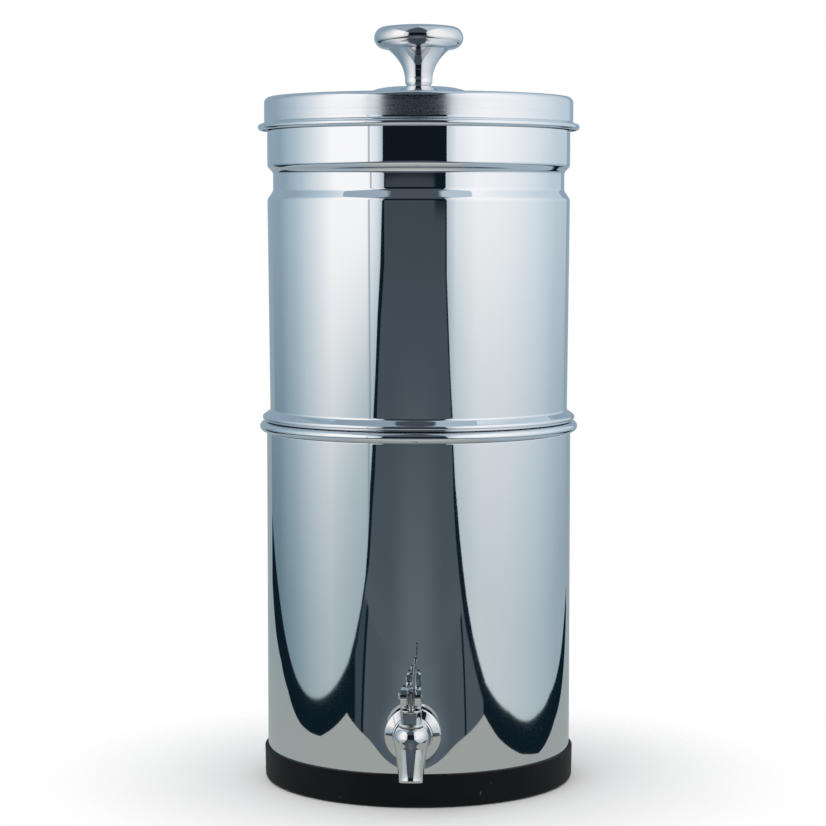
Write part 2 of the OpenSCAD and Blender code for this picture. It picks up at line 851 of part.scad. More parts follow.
module lever() {
    half = fork_w / 2;
    cam = [for (a = [0:5:lever_travel]) cam_point(a)];
    nose = cam[len(cam) - 1];
    leg = concat(cam, rounded([
        nose + [0.5, 2],
        [-leg_half, leg_top - 2, leg_round],
        [-leg_half + leg_round, leg_top, 1],
        [leg_half, leg_top, leg_round],
        [leg_half, -cam_low, leg_round],
        [cam_flat - 1, -cam_low]
    ]));
    gap = fork_gap / 2;
    low = -cam_low - through;
    z1 = leg_top;
    tip = z1 + blade_l;
    tip_x = blade_x + blade_lean;
    color(steel) difference() {
        at_pin() union() {
            // the cam's outline from the side, the fork's from the front
            intersection() {
                plate_x(-fork_w, fork_w, leg);
                plate_y(-4 * cam_low, 4 * cam_low, rounded([
                    [-half, low],
                    [-gap, low],
                    [-gap, bridge_low, bridge_round],
                    [gap, bridge_low, bridge_round],
                    [gap, low],
                    [half, low],
                    [half, z1, fork_shoulder_r],
                    [-half, z1, fork_shoulder_r],
                    [-half, bridge_low]
                ]));
            }
            plate_y(-boss_half, boss_half, rounded([
                [boss_x, z1 - through],
                [boss_x + boss_w / 2, z1 - through],
                [boss_x + boss_w / 2, z1 + boss_h, boss_round],
                [boss_x - boss_w / 2, z1 + boss_h, boss_round],
                [boss_x - boss_w / 2, z1 - through]
            ]));
            intersection() {
                plate_y(-blade_w, blade_w, [
                    [blade_x - blade_t / 2, z1 - through],
                    [blade_x + blade_t / 2, z1 - through],
                    [tip_x + blade_tip, tip],
                    [tip_x - blade_tip, tip]
                ]);
                plate_x(-fork_w, fork_w, rounded([
                    [0, z1 - through],
                    [blade_root, z1 - through],
                    [blade_w / 2, tip, blade_round],
                    [-blade_w / 2, tip, blade_round],
                    [-blade_root, z1 - through]
                ]));
            }
        }
        rod_x(pin_r + snug_fit, -fork_w, fork_w);
    }
}

module lever_pin() {
    half = fork_w / 2;
    color(steel) union() {
        rod_x(pin_r, -half - through, half + pin_tail);
        rod_x(pin_head_r, -half - pin_head_t, -half);
    }
}

base_ring();
lower_chamber();
upper_chamber();
lid();
knob();
knob_seal();
knob_screw();
knob_screw_washer();
candle_left();
candle_right();
candle_cap_left();
candle_cap_right();
floor_washers();
wing_nuts();
blanking_plugs();
tap_outer_gasket();
tap_escutcheon();
tap_body();
tap_inner_gasket();
tap_washer();
tap_lock_nut();
tap_bonnet();
bonnet_seal();
stem_o_ring();
valve_spring();
valve_stem();
seat_washer();
seat_screw();
lever();
lever_pin();
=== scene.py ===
import json
import math

import bmesh
import bpy
import numpy
from mathutils import Matrix, Vector


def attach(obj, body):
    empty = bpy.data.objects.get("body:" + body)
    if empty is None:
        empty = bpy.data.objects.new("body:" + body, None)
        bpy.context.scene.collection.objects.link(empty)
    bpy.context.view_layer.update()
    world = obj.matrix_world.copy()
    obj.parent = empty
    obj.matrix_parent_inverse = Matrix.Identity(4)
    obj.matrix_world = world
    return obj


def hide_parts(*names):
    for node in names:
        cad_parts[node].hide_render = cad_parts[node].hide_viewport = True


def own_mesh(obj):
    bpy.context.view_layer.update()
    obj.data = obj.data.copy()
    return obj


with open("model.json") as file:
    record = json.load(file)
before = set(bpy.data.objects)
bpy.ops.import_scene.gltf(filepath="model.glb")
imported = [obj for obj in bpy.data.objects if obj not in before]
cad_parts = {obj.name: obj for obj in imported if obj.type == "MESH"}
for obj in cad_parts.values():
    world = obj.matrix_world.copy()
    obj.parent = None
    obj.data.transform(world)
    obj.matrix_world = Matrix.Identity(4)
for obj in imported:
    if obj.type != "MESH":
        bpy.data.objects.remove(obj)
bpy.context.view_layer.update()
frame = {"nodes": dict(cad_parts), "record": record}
record = frame["record"]
slots = {part["node"]: part["material_slot"] for part in record["subparts"]}
bodies = {node: body for body, members in record["behaviour"]["bodies"].items()
          for node in members}
mm = 0.001
fullTurn = 2 * math.pi
sharpAngle = math.radians(38)  # faces that meet more steeply show a hard edge
print("frame loaded:", len(frame["nodes"]), "nodes")


# outlines, in millimetres

def arc(centre, radius, start, end, steps):
    angles = [math.radians(start + (end - start) * i / steps) for i in range(steps + 1)]
    return [Vector((centre[0] + radius * math.cos(a), centre[1] + radius * math.sin(a)))
            for a in angles]


def corner(before, point, after, radius, steps):
    u = (before - point).normalized()
    v = (after - point).normalized()
    half = math.acos(max(-1, min(1, u.dot(v)))) / 2
    centre = point + (u + v).normalized() * radius / math.sin(half)
    first = point + u * radius / math.tan(half) - centre
    turn = math.degrees(math.copysign(math.pi - 2 * half, v.x * u.y - v.y * u.x))
    start = math.degrees(math.atan2(first.y, first.x))
    return arc(centre, radius, start, start + turn, steps)


def rounded(path, steps=8):
    flat = [Vector(p[:2]) for p in path]
    line = []
    for i, p in enumerate(path):
        if len(p) == 3:
            line += corner(flat[i - 1], flat[i], flat[(i + 1) % len(flat)], p[2], steps)
        else:
            line.append(flat[i])
    return line


def sheet(path, thickness):
    # the closed section of a sheet that lies to the left of a path
    inner = []
    for i, p in enumerate(path):
        a = (path[max(i, 1)] - path[max(i, 1) - 1]).normalized()
        k = min(i, len(path) - 2)
        b = (path[k + 1] - path[k]).normalized()
        inner.append(p + thickness * Vector((-(a.y + b.y), a.x + b.x)) / (1 + a.dot(b)))
    return path + inner[::-1]


def fine(line, longest, edge=0.5):
    # extra points keep a smooth wall's own direction up to its corners
    points = []
    for i, a in enumerate(line):
        b = line[(i + 1) % len(line)]
        points.append(a)
        length = (b - a).length
        if length > 4 * edge:
            points.append(a + (b - a) * edge / length)
            parts = math.ceil((length - 2 * edge) / longest)
            for k in range(1, parts):
                points.append(a + (b - a) * (edge + (length - 2 * edge) * k / parts) / length)
            points.append(b - (b - a) * edge / length)
    return points


# meshes

def newObject(name, data):
    thing = bpy.data.objects.new(name, data)
    bpy.context.scene.collection.objects.link(thing)
    return thing


def newMesh(name, verts, faces):
    mesh = bpy.data.meshes.new(name)
    mesh.from_pydata(verts, [], faces)
    return newObject(name, mesh)


def newPiece(name, verts, faces):
    piece = newMesh(name, verts, faces)
    tidyMesh(piece)
    return piece


def tidyMesh(piece):
    # outward faces, smooth shading and hard edges where the faces meet at a steep angle
    bm = bmesh.new()
    bm.from_mesh(piece.data)
    bmesh.ops.remove_doubles(bm, verts=bm.verts, dist=1e-7)
    bmesh.ops.recalc_face_normals(bm, faces=bm.faces)
    for face in bm.faces:
        face.smooth = True
    for edge in bm.edges:
        edge.smooth = len(edge.link_faces) == 2 and edge.calc_face_angle(0) < sharpAngle
    bm.to_mesh(piece.data)
    bm.free()


def turned(section, turns, place=None):
    # vertices and faces of a closed section turned about an upright axis
    verts, faces, rings = [], [], []
    for p in section:
        if abs(p[0]) < 1e-4:
            rings.append([len(verts)])
            verts.append(Vector((0, 0, p[1] * mm)))
        else:
            rings.append(range(len(verts), len(verts) + turns))
            for k in range(turns):
                a = fullTurn * k / turns
                verts.append(Vector((p[0] * math.cos(a), p[0] * math.sin(a), p[1])) * mm)
    for i, low in enumerate(rings):
        high = rings[(i + 1) % len(rings)]
        if len(low) == 1 and len(high) == 1:
            continue
        for k in range(turns):
            n = (k + 1) % turns
            if len(low) == 1:
                faces.append((low[0], high[n], high[k]))
            elif len(high) == 1:
                faces.append((low[k], low[n], high[0]))
            else:
                faces.append((low[k], low[n], high[n], high[k]))
    if place:
        verts = [place @ v for v in verts]
    return verts, faces


def lathe(name, section, turns, place=None):
    return newPiece(name, *turned(section, turns, place))


def joined(name, parts):
    verts, faces = [], []
    for partVerts, partFaces in parts:
        faces += [tuple(i + len(verts) for i in face) for face in partFaces]
        verts += list(partVerts)
    return newPiece(name, verts, faces)


def tubeFaces(steps, sides):
    # the faces of a tube of rings, with both of its ends closed
    faces = [(i * sides + k, i * sides + (k + 1) % sides, (i + 1) * sides + (k + 1) % sides,
              (i + 1) * sides + k) for i in range(steps) for k in range(sides)]
    return faces + [tuple(range(sides)),
                    tuple(range((steps + 1) * sides - 1, steps * sides - 1, -1))]


def pressed(piece, kind, **settings):
    # the piece takes the shape that one modifier gives it
    change = piece.modifiers.new(kind.lower(), kind)
    for key, value in settings.items():
        setattr(change, key, value)
    shown = piece.evaluated_get(bpy.context.evaluated_depsgraph_get())
    mesh = bpy.data.meshes.new_from_object(shown)
    piece.modifiers.clear()
    piece.data = mesh
    tidyMesh(piece)


def combined(piece, operation, other):
    # joins a piece on, cuts it away or keeps the overlap, and uses it up
    pressed(piece, "BOOLEAN", operation=operation, solver="EXACT", object=other)
    bpy.data.objects.remove(other)


def drill(piece, radius, start, end, sides=64):
    # a round hole from one point to another, in millimetres
    start, end = Vector(start) * mm, Vector(end) * mm
    turn = (end - start).to_track_quat("Z", "Y").to_matrix().to_4x4()
    length = (end - start).length / mm
    section = rounded([(0, 0), (radius, 0), (radius, length), (0, length)])
    combined(piece, "DIFFERENCE",
             lathe("cutter", section, sides, Matrix.Translation(start) @ turn))


def atTap():
    return Matrix.Translation((0, tap["axis"] * mm, 0))


def acrossWall():
    # lays an upright part across the wall at the tap, with its top towards -Y
    return Matrix.Translation((0, 0, tap["height"] * mm)) @ Matrix.Rotation(
        math.radians(90), 4, "X")


# shader nodes

class Wire:
    # one output; arithmetic on it adds Math nodes
    def __init__(self, graph, socket):
        self.graph = graph
        self.socket = socket

    def math(self, operation, *others):
        return self.graph.add("ShaderNodeMath", {"operation": operation},
                              dict(enumerate((self,) + others)))

    def __add__(self, other): return self.math("ADD", other)
    def __sub__(self, other): return self.math("SUBTRACT", other)
    def __mul__(self, other): return self.math("MULTIPLY", other)
    def __truediv__(self, other): return self.math("DIVIDE", other)
    def __pow__(self, other): return self.math("POWER", other)
    __radd__ = __add__
    __rmul__ = __mul__

    def __rsub__(self, other):
        return self.graph.add("ShaderNodeMath", {"operation": "SUBTRACT"}, {0: other, 1: self})

    def between(self, low, high):
        # 0 below low, 1 above high, smooth between them
        return self.graph.add("ShaderNodeMapRange", {"interpolation_type": "SMOOTHSTEP"},
                              {"Value": self, "From Min": low, "From Max": high})

    def band(self, start, low, high, end):
        # 1 from low to high, and 0 before start and after end
        return self.between(start, low) - self.between(high, end)

    def ramp(self, stops):
        return self.graph.add("ShaderNodeValToRGB", {"stops": stops}, {"Fac": self})


class Graph:
    def __init__(self, owner):
        self.owner = owner
        owner.use_nodes = True
        self.tree = owner.node_tree
        self.tree.nodes.clear()

    def add(self, kind, settings=None, inputs=None, output=0):
        node = self.tree.nodes.new(kind)
        for key, value in (settings or {}).items():
            if key == "stops":
                stops = node.color_ramp.elements
                while len(stops) < len(value):
                    stops.new(1)
                for stop, (place, colour) in zip(stops, value):
                    stop.position = place
                    stop.color = (*colour, 1)
            else:
                setattr(node, key, value)
        for key, value in (inputs or {}).items():
            socket = node.inputs[key]
            if isinstance(value, Wire):
                self.tree.links.new(value.socket, socket)
            else:
                socket.default_value = (*value, 1) if socket.type == "RGBA" else value
        return Wire(self, node.outputs[output]) if len(node.outputs) else None

    def place(self, scale=(1, 1, 1)):
        where = self.add("ShaderNodeTexCoord", output="Object")
        return self.add("ShaderNodeMapping", None, {"Vector": where, "Scale": scale})

    def axes(self):
        split = self.add("ShaderNodeSeparateXYZ", None, {0: self.place()})
        return [Wire(self, socket) for socket in split.socket.node.outputs]

    def noise(self, scale, size, detail, rough=0.5):
        return self.add("ShaderNodeTexNoise", None,
                        {"Vector": self.place(scale), "Scale": size, "Detail": detail,
                         "Roughness": rough})

    def mix(self, amount, first, second, blend="MIX"):
        return self.add("ShaderNodeMix", {"data_type": "RGBA", "blend_type": blend},
                        {0: amount, 6: first, 7: second}, 2)

    def bump(self, height):
        # the height is in metres
        return self.add("ShaderNodeBump", None,
                        {"Height": height, "Distance": 1.0, "Strength": 1.0})

    def surface(self, **inputs):
        shader = self.add("ShaderNodeBsdfPrincipled", None,
                          {name.replace("_", " "): value for name, value in inputs.items()})
        self.add("ShaderNodeOutputMaterial", None, {"Surface": shader})
        return self.owner

    def glow(self, colour):
        shader = self.add("ShaderNodeEmission", None, {"Color": colour, "Strength": 1.0})
        self.add("ShaderNodeOutputMaterial", None, {"Surface": shader})
        self.owner.cycles.emission_sampling = "NONE"
        return self.owner


def newFinish(name):
    return Graph(bpy.data.materials.new(name))


# finishes

even = (1, 1, 1)
steelLook = {"colour": (0.74, 0.77, 0.8), "warm": (0.755, 0.772, 0.788), "rough": 0.022,
             "haze": 0.014, "grainRough": 0.006, "wave": 0.00022, "grain": 0.00000025,
             "brushColour": (0.6, 0.63, 0.66), "brushTint": 0.25, "brushVary": 0.2,
             "brushDeep": 0.00002}


def shellSteel(name, brushed=0.0, heights=()):
    # polished sheet; between some heights it can be brushed around the wall
    look = steelLook
    g = newFinish(name)
    cloud = g.noise((1, 1, 0.6), 14, 3, 0.55)
    grain = g.noise((18, 18, 1500), 1, 3, 0.6)
    streak = g.noise((7, 7, 420), 1, 4, 0.65)
    wave = g.noise((9, 9, 3), 1, 1.5, 0.4)
    colour = g.mix(cloud.between(0.35, 0.7), look["colour"], look["warm"])
    rough = look["rough"] + look["haze"] * cloud.between(0.45, 0.8) + look["grainRough"] * grain
    height = wave * look["wave"] + grain * look["grain"]
    if brushed:
        band = g.axes()[2].band(*(h * mm for h in heights))
        rough = rough + band * (brushed + look["brushVary"] * (streak - 0.5))
        colour = g.mix(band * streak.between(0.5, 0.72) * look["brushTint"], colour,
                       look["brushColour"])
        height = height + band * streak * look["brushDeep"]
    return g.surface(Base_Color=colour, Metallic=1.0, Roughness=rough, Normal=g.bump(height))


turnedLook = {"colour": (0.76, 0.77, 0.79), "warm": (0.71, 0.705, 0.7), "rough": 0.045,
              "haze": 0.05, "lineRough": 0.02, "lineDeep": 0.000006, "cloudDeep": 0.00002}


def turnedSteel(name):
    look = turnedLook
    g = newFinish(name)
    lines = g.noise((6, 6, 900), 1, 3, 0.6)
    cloud = g.noise(even, 60, 3, 0.6)
    colour = g.mix(cloud.between(0.3, 0.75), look["colour"], look["warm"])
    rough = look["rough"] + look["haze"] * cloud.between(0.45, 0.85) + look["lineRough"] * lines
    return g.surface(Base_Color=colour, Metallic=1.0, Roughness=rough,
                     Normal=g.bump(lines * look["lineDeep"] + cloud * look["cloudDeep"]))


fastenerLook = {"colour": (0.66, 0.67, 0.69), "dull": (0.56, 0.565, 0.575), "rough": 0.2,
                "spotRough": 0.14, "spotDeep": 0.00002, "lineDeep": 0.00001}


def fastenerSteel(name):
    look = fastenerLook
    g = newFinish(name)
    spots = g.noise(even, 320, 4, 0.65)
    lines = g.noise((60, 60, 2500), 1, 2)
    colour = g.mix(spots.between(0.35, 0.7), look["colour"], look["dull"])
    return g.surface(Base_Color=colour, Metallic=1.0,
                     Roughness=look["rough"] + look["spotRough"] * spots,
                     Normal=g.bump(spots * look["spotDeep"] + lines * look["lineDeep"]))


rubberLook = {"dust": (0.16, 0.17, 0.18), "dustAmount": 0.5, "dustRough": 0.2,
              "cloudRough": 0.12, "poreDeep": 0.00003, "cloudDeep": 0.0001}


def rubber(name, colour, bloom, rough, shine=0.5):
    look = rubberLook
    g = newFinish(name)
    cloud = g.noise(even, 22, 4, 0.6)
    pores = g.noise(even, 900, 2)
    dust = g.noise(even, 420, 1).between(0.74, 0.78) * cloud.between(0.45, 0.6)
    shade = g.mix(cloud.between(0.3, 0.75), colour, bloom)
    shade = g.mix(dust * look["dustAmount"], shade, look["dust"])
    height = pores * look["poreDeep"] + cloud * look["cloudDeep"]
    return g.surface(Base_Color=shade, Specular_IOR_Level=shine, Normal=g.bump(height),
                     Roughness=rough + look["cloudRough"] * cloud + look["dustRough"] * dust)


ceramicLook = {"colour": (0.88, 0.85, 0.78), "stained": (0.83, 0.785, 0.7),
               "pore": (0.7, 0.66, 0.58), "poreAmount": 0.4, "rough": 0.78, "poreRough": 0.15,
               "poreDeep": 0.00012, "ringDeep": 0.00008}


def ceramic(name):
    look = ceramicLook
    g = newFinish(name)
    pores = g.noise(even, 1500, 3, 0.7)
    cloud = g.noise((1, 1, 0.5), 40, 3)
    rings = g.noise((12, 12, 900), 1, 2, 0.6)
    shade = g.mix(cloud.between(0.3, 0.7), look["colour"], look["stained"])
    shade = g.mix(pores.between(0.56, 0.72) * look["poreAmount"], shade, look["pore"])
    return g.surface(Base_Color=shade, Roughness=look["rough"] + look["poreRough"] * pores,
                     Normal=g.bump(pores * look["poreDeep"] + rings * look["ringDeep"]))


siliconeLook = {"colour": (0.82, 0.83, 0.82), "second": (0.74, 0.75, 0.73), "cloud": 90,
                "skin": (90, 3), "rough": 0.32, "skinRough": 0.1, "skinDeep": 0.00005}
plasticLook = {"colour": (0.12, 0.13, 0.14), "second": (0.095, 0.102, 0.112), "cloud": 45,
               "skin": (1100, 2), "rough": 0.36, "skinRough": 0.14, "skinDeep": 0.00003}


def moulded(name, look):
    g = newFinish(name)
    skin = g.noise(even, *look["skin"])
    cloud = g.noise(even, look["cloud"], 3)
    return g.surface(Base_Color=g.mix(cloud, look["colour"], look["second"]),
                     Roughness=look["rough"] + look["skinRough"] * skin,
                     Normal=g.bump(skin * look["skinDeep"]))


finishes = {
    "shell_steel": shellSteel("shellSteel"),
    "turned_steel": turnedSteel("turnedSteel"),
    "fastener_steel": fastenerSteel("fastenerSteel"),
    "base_rubber": rubber("baseRubber", (0.003, 0.0035, 0.0045), (0.006, 0.0065, 0.008), 0.45,
                          0.12),
    "gasket_rubber": rubber("gasketRubber", (0.03, 0.03, 0.032), (0.04, 0.04, 0.041), 0.6),
    "silicone": moulded("clearSilicone", siliconeLook),
    "candle_ceramic": ceramic("candleCeramic"),
    "cap_plastic": moulded("capPlastic", plasticLook),
}
for node, slot in slots.items():
    mesh = frame["nodes"][node].data
    mesh.materials.clear()
    mesh.materials.append(finishes[slot])
print("finishes made:", len(finishes))


def standFor(piece, node, finish=None):
    piece.data.materials.clear()
    piece.data.materials.append(finish or finishes[slots[node]])
    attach(piece, bodies[node])
    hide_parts(node)
    return piece


# base ring

wall = {"radius": 110, "sheet": 0.8, "floorLift": 6, "floorCorner": 8, "turns": 256}
base = {"height": 23.5, "wall": 2.2, "fit": 0.1, "web": 18, "footRound": 3, "lipRound": 0.8,
        "draft": 0.5, "seatTurn": -80, "spacing": 4}


def makeBase():
    radius, lift = wall["radius"], wall["floorLift"]
    outer = radius + base["fit"] + base["wall"]
    inner = radius + base["fit"]
    seat = (radius - wall["floorCorner"], lift + wall["floorCorner"])
    section = rounded([(radius - base["web"], 0), (outer - base["draft"], 0, base["footRound"]),
                       (outer, base["height"], base["lipRound"]), (inner, base["height"])])
    section += arc(seat, wall["floorCorner"] + base["fit"], 0, base["seatTurn"], 12)
    section += rounded([(seat[0] - base["fit"], lift), (radius - base["web"], lift)])
    section = fine(section, base["spacing"])
    return standFor(lathe("baseRing", section, wall["turns"]), "base_ring")


makeBase()
print("base ring made")


# lower chamber

lower = {"height": 254.3, "rimRound": 3.5, "rimOut": 5, "rimArc": (172, -100), "jog": 1,
         "jogRound": 1.5, "tapHoleFit": 0.3, "turns": 432, "spacing": 1.6}
dish = {"depth": 0.9, "flat": 18, "fall": 4.5, "reach": -60}
tap = {"height": 51.6, "axis": -140.0, "shank": 7.9, "shankEnd": 86.6, "wallFace": 112.6,
       "discFace": 115.8, "disc": 19.5, "discEdge": 1.2, "discRound": 1.3, "discFlat": 14,
       "fit": 0.05, "flange": 13.75, "flangeDeep": 3, "flangeRound": 0.9, "neck": 9.5,
       "neckEnds": (117, 138), "fillet": 3, "shoulder": 11.7, "shoulderZ": 54, "mouth": 8.6,
       "mouthPlain": 3, "hornPower": 1.25, "mouthZ": 25, "lip": 1.5, "blend": 1, "lean": 12,
       "top": 8.05, "topZ": 62.5, "bore": 6.5, "orifice": 3.6, "orificeLow": 40.6,
       "orificeZ": 42.2, "seatZ": 46.2, "chamber": 6, "waterWay": 4, "thread": 1.5,
       "threadDeep": 0.5, "outside": -130, "inside": -80, "grid": 0.45}
rimCentre = Vector((wall["radius"] + lower["rimOut"] - lower["rimRound"],
                    wall["floorLift"] + lower["height"] - lower["rimRound"]))


def dishDepth(x, z):
    # tightening the tap has drawn the sheet in a little around it
    away = max(0, math.hypot(x / mm, z / mm - tap["height"]) - dish["flat"])
    return dish["depth"] * mm * math.exp(-away / dish["fall"])


def makeLower():
    skin = lower["rimRound"] - wall["sheet"]
    path = rounded([
        (0, wall["floorLift"]), (wall["radius"], wall["floorLift"], wall["floorCorner"]),
        (wall["radius"], rimCentre.y - lower["rimRound"] - lower["jog"], lower["jogRound"]),
        (rimCentre.x - skin, rimCentre.y),
    ], 12)
    path += arc(rimCentre, skin, *lower["rimArc"], 40)
    section = fine(sheet(path, wall["sheet"]), lower["spacing"])
    piece = lathe("lowerChamber", section, lower["turns"])
    z = tap["height"]
    drill(piece, tap["shank"] + lower["tapHoleFit"], (0, tap["outside"], z), (0, tap["inside"], z))
    for v in piece.data.vertices:
        if v.co.y < dish["reach"] * mm:
            v.co.y += dishDepth(v.co.x, v.co.z)
    return standFor(piece, "lower_chamber")


makeLower()
print("lower chamber made")


# upper chamber

upper = {"radius": 109, "height": 227.8, "taper": 1.5, "beadRound": 3.9, "beadOut": 5.5,
         "beadArc": (-100, -35), "faceLow": -1.4, "faceHigh": 0.4, "footHigh": 4.3,
         "faceRounds": (1.1, 2, 1.8), "gap": 0.3, "nest": 20, "nestClear": 1.3, "nestCorner": 5,
         "beadCorner": 1.2, "shoulder": 1.4, "hem": 2.2, "hemArc": (15, 230), "spacing": 6}
groove = {"drop": 59.2, "width": 13, "deep": 4.1, "slope": 6.2, "brow": 4.2, "round": 4}
holes = {"circle": 52, "radius": 6.25, "reach": 3}
beadX = upper["radius"] - upper["taper"] + upper["beadOut"] - upper["beadRound"]
beadReach = lower["rimRound"] + upper["beadRound"] + upper["gap"]
beadCentre = Vector((beadX, rimCentre.y + math.sqrt(beadReach ** 2 - (rimCentre.x - beadX) ** 2)))
upperFloor = beadCentre.y - upper["nest"]
upperTop = beadCentre.y + upper["height"]


def makeUpper():
    bead = arc(beadCentre, upper["beadRound"], *upper["beadArc"], 14)
    outer = beadX + upper["beadRound"]
    nest = rimCentre.x - lower["rimRound"] - upper["nestClear"]
    grooveZ = upperTop - groove["drop"]
    low, high = grooveZ - groove["width"] / 2, grooveZ + groove["width"] / 2
    radius, soft = upper["radius"], groove["round"]
    inner = radius - groove["deep"]
    hemCentre = (radius - upper["hem"], upperTop - upper["hem"])
    floorPart = rounded([
        (0, upperFloor), (nest, upperFloor, upper["nestCorner"]),
        (nest, bead[0].y - upper["shoulder"], upper["beadCorner"]), tuple(bead[0])])
    lowRound, highRound, footRound = upper["faceRounds"]
    wallPart = rounded([
        tuple(bead[-1]),
        (outer, beadCentre.y + upper["faceLow"], lowRound),
        (outer, beadCentre.y + upper["faceHigh"], highRound),
        (radius - upper["taper"], beadCentre.y + upper["footHigh"], footRound),
        (radius, low - groove["slope"], soft), (inner, low, soft), (inner, high, soft),
        (radius, high + groove["brow"], soft), (radius, hemCentre[1])])
    path = floorPart + bead[1:-1] + wallPart + arc(hemCentre, upper["hem"], *upper["hemArc"], 24)
    section = fine(sheet(path, wall["sheet"]), upper["spacing"])
    piece = lathe("upperChamber", section, wall["turns"])
    for k in range(4):
        a = k * math.pi / 2
        x, y = holes["circle"] * math.cos(a), holes["circle"] * math.sin(a)
        drill(piece, holes["radius"], (x, y, upperFloor - holes["reach"]),
              (x, y, upperFloor + holes["reach"]), 48)
    return standFor(piece, "upper_chamber")


makeUpper()
print("upper chamber made")


# lid and knob

lid = {"height": 23.8, "clear": 1.3, "corner": 4, "beadRound": 2.3, "beadOut": 4.6,
       "beadLeave": 70, "beadTo": -100, "dome": 49, "domeTop": 25, "domeHeight": 7.6,
       "domeBlend": 50, "hole": 3.5, "brushed": 0.17, "brushLow": 1, "brushHigh": 2,
       "spacing": 5}
lidTop = upperTop + upper["gap"] + wall["sheet"]
domeTop = lidTop + lid["domeHeight"]


def beadFoot(centre, radius, skirt, leave):
    # where the bead runs straight back to the skirt
    a = math.radians(leave)
    p = centre + radius * Vector((math.cos(a), math.sin(a)))
    return (skirt, p.y + (p.x - skirt) / math.tan(a))


def makeLid():
    radius = upper["radius"] + lid["clear"] + wall["sheet"]
    centre = Vector((radius + lid["beadOut"] - lid["beadRound"],
                     lidTop - lid["height"] + lid["beadRound"]))
    bead = arc(centre, lid["beadRound"], lid["beadLeave"], lid["beadTo"], 28)
    foot = beadFoot(centre, lid["beadRound"], radius, lid["beadLeave"])
    path = rounded([
        (lid["hole"], domeTop), (lid["domeTop"], domeTop, lid["domeBlend"]),
        (lid["dome"], lidTop, lid["domeBlend"]), (radius, lidTop, lid["corner"]),
        (*foot, upper["beadCorner"]), tuple(bead[0])], 12)
    section = fine(sheet(path + bead[1:], -wall["sheet"]), lid["spacing"])
    piece = lathe("lidSheet", section, wall["turns"])
    low, high = foot[1] + lid["brushLow"], lidTop - lid["brushHigh"]
    finish = shellSteel("lidSteel", lid["brushed"], (low, low + 1, high - 2, high))
    return standFor(piece, "lid", finish)


knob = {"radius": 32, "height": 43.7, "stem": 9.8, "edge": 8, "edgeUnder": -100,
        "edgeArc": (-90, 80), "flare": 2.4, "crown": 1.5, "foot": 2, "footIn": 1.2, "seal": 0.8,
        "hole": 3.05, "holeDeep": 15.5, "steps": 32, "crownSteps": 8, "turns": 192}


def makeKnob():
    steps, crownSteps = knob["steps"], knob["crownSteps"]
    stem, foot, top = knob["stem"], knob["foot"], knob["height"]
    edgeCentre = Vector((knob["radius"] - knob["edge"], top - knob["crown"] - knob["edge"]))
    under = arc(edgeCentre, knob["edge"], knob["edgeUnder"], 0, 1)[0]
    flare = []
    for i in range(steps + 1):
        s = i / steps
        flare.append(Vector((stem + (under.x - stem) * s ** knob["flare"],
                             foot + (under.y - foot) * s)))
    edge = arc(edgeCentre, knob["edge"], *knob["edgeArc"], steps)
    brow = edge[-1]
    crown = [Vector((brow.x * i / crownSteps, top - (top - brow.y) * (i / crownSteps) ** 2))
             for i in range(crownSteps - 1, -1, -1)]
    section = rounded([(knob["hole"], 0), (stem - knob["footIn"], 0)])
    section += flare + edge + crown
    section += rounded([(0, knob["holeDeep"]), (knob["hole"], knob["holeDeep"])])
    section = [p + Vector((0, domeTop + knob["seal"])) for p in section]
    return standFor(lathe("lidKnob", section, knob["turns"]), "knob")


makeLid()
makeKnob()
print("lid and knob made")


# tap

def threaded(radius, low, high, depth, pitch):
    # the outline of a thread, drawn as plain rings
    points = []
    for i in range(int((high - low) / pitch)):
        z = low + i * pitch
        points += [(radius - depth, z), (radius, z + 0.4 * pitch), (radius, z + 0.6 * pitch)]
    return rounded(points + [(radius - depth, high)])


def makeDisc():
    low, high = tap["wallFace"], tap["discFace"]
    hole = tap["shank"] + tap["fit"]
    section = rounded([(hole, low), (tap["disc"], low, 0.3),
                       (tap["disc"], low + tap["discEdge"], tap["discRound"]),
                       (tap["discFlat"], high, 0.5), (hole, high)])
    return standFor(lathe("tapDisc", section, 160, acrossWall()), "tap_escutcheon")


gasket = {"outer": 17, "inner": 14, "innerFace": 106.6}


def makeGasket(name, node, radius, flatFace, wallRadius):
    # a ring with one flat face, and one that lies on the wall
    hole = tap["shank"] + tap["fit"]
    across = [hole + (radius - hole) * i / 8 for i in range(9)]
    section = [Vector((r, 0)) for r in across] + [Vector((r, 1)) for r in reversed(across)]
    piece = lathe(name, section, 128, acrossWall())
    for v in piece.data.vertices:
        if v.co.y > -0.5 * mm:
            v.co.y = -flatFace * mm
        else:
            v.co.y = dishDepth(v.co.x, v.co.z) - math.sqrt((wallRadius * mm) ** 2 - v.co.x ** 2)
    tidyMesh(piece)
    return standFor(piece, node)


def leaning(x, y, z):
    # a point of the spout, which leans away from the wall about the tap's shoulder
    turn = math.radians(tap["lean"])
    drop = z - tap["shoulderZ"]
    return Vector((x, tap["axis"] + y * math.cos(turn) + drop * math.sin(turn),
                   tap["shoulderZ"] - y * math.sin(turn) + drop * math.cos(turn)))


def hornGirth(s):
    # the spout's radius, from 0 at its mouth to 1 at the shoulder
    return tap["mouth"] + (tap["shoulder"] - tap["mouth"]) * s ** tap["hornPower"]


def smoothMin(a, b, k):
    h = numpy.clip(0.5 + 0.5 * (b - a) / k, 0, 1)
    return b * (1 - h) + a * h - k * h * (1 - h)


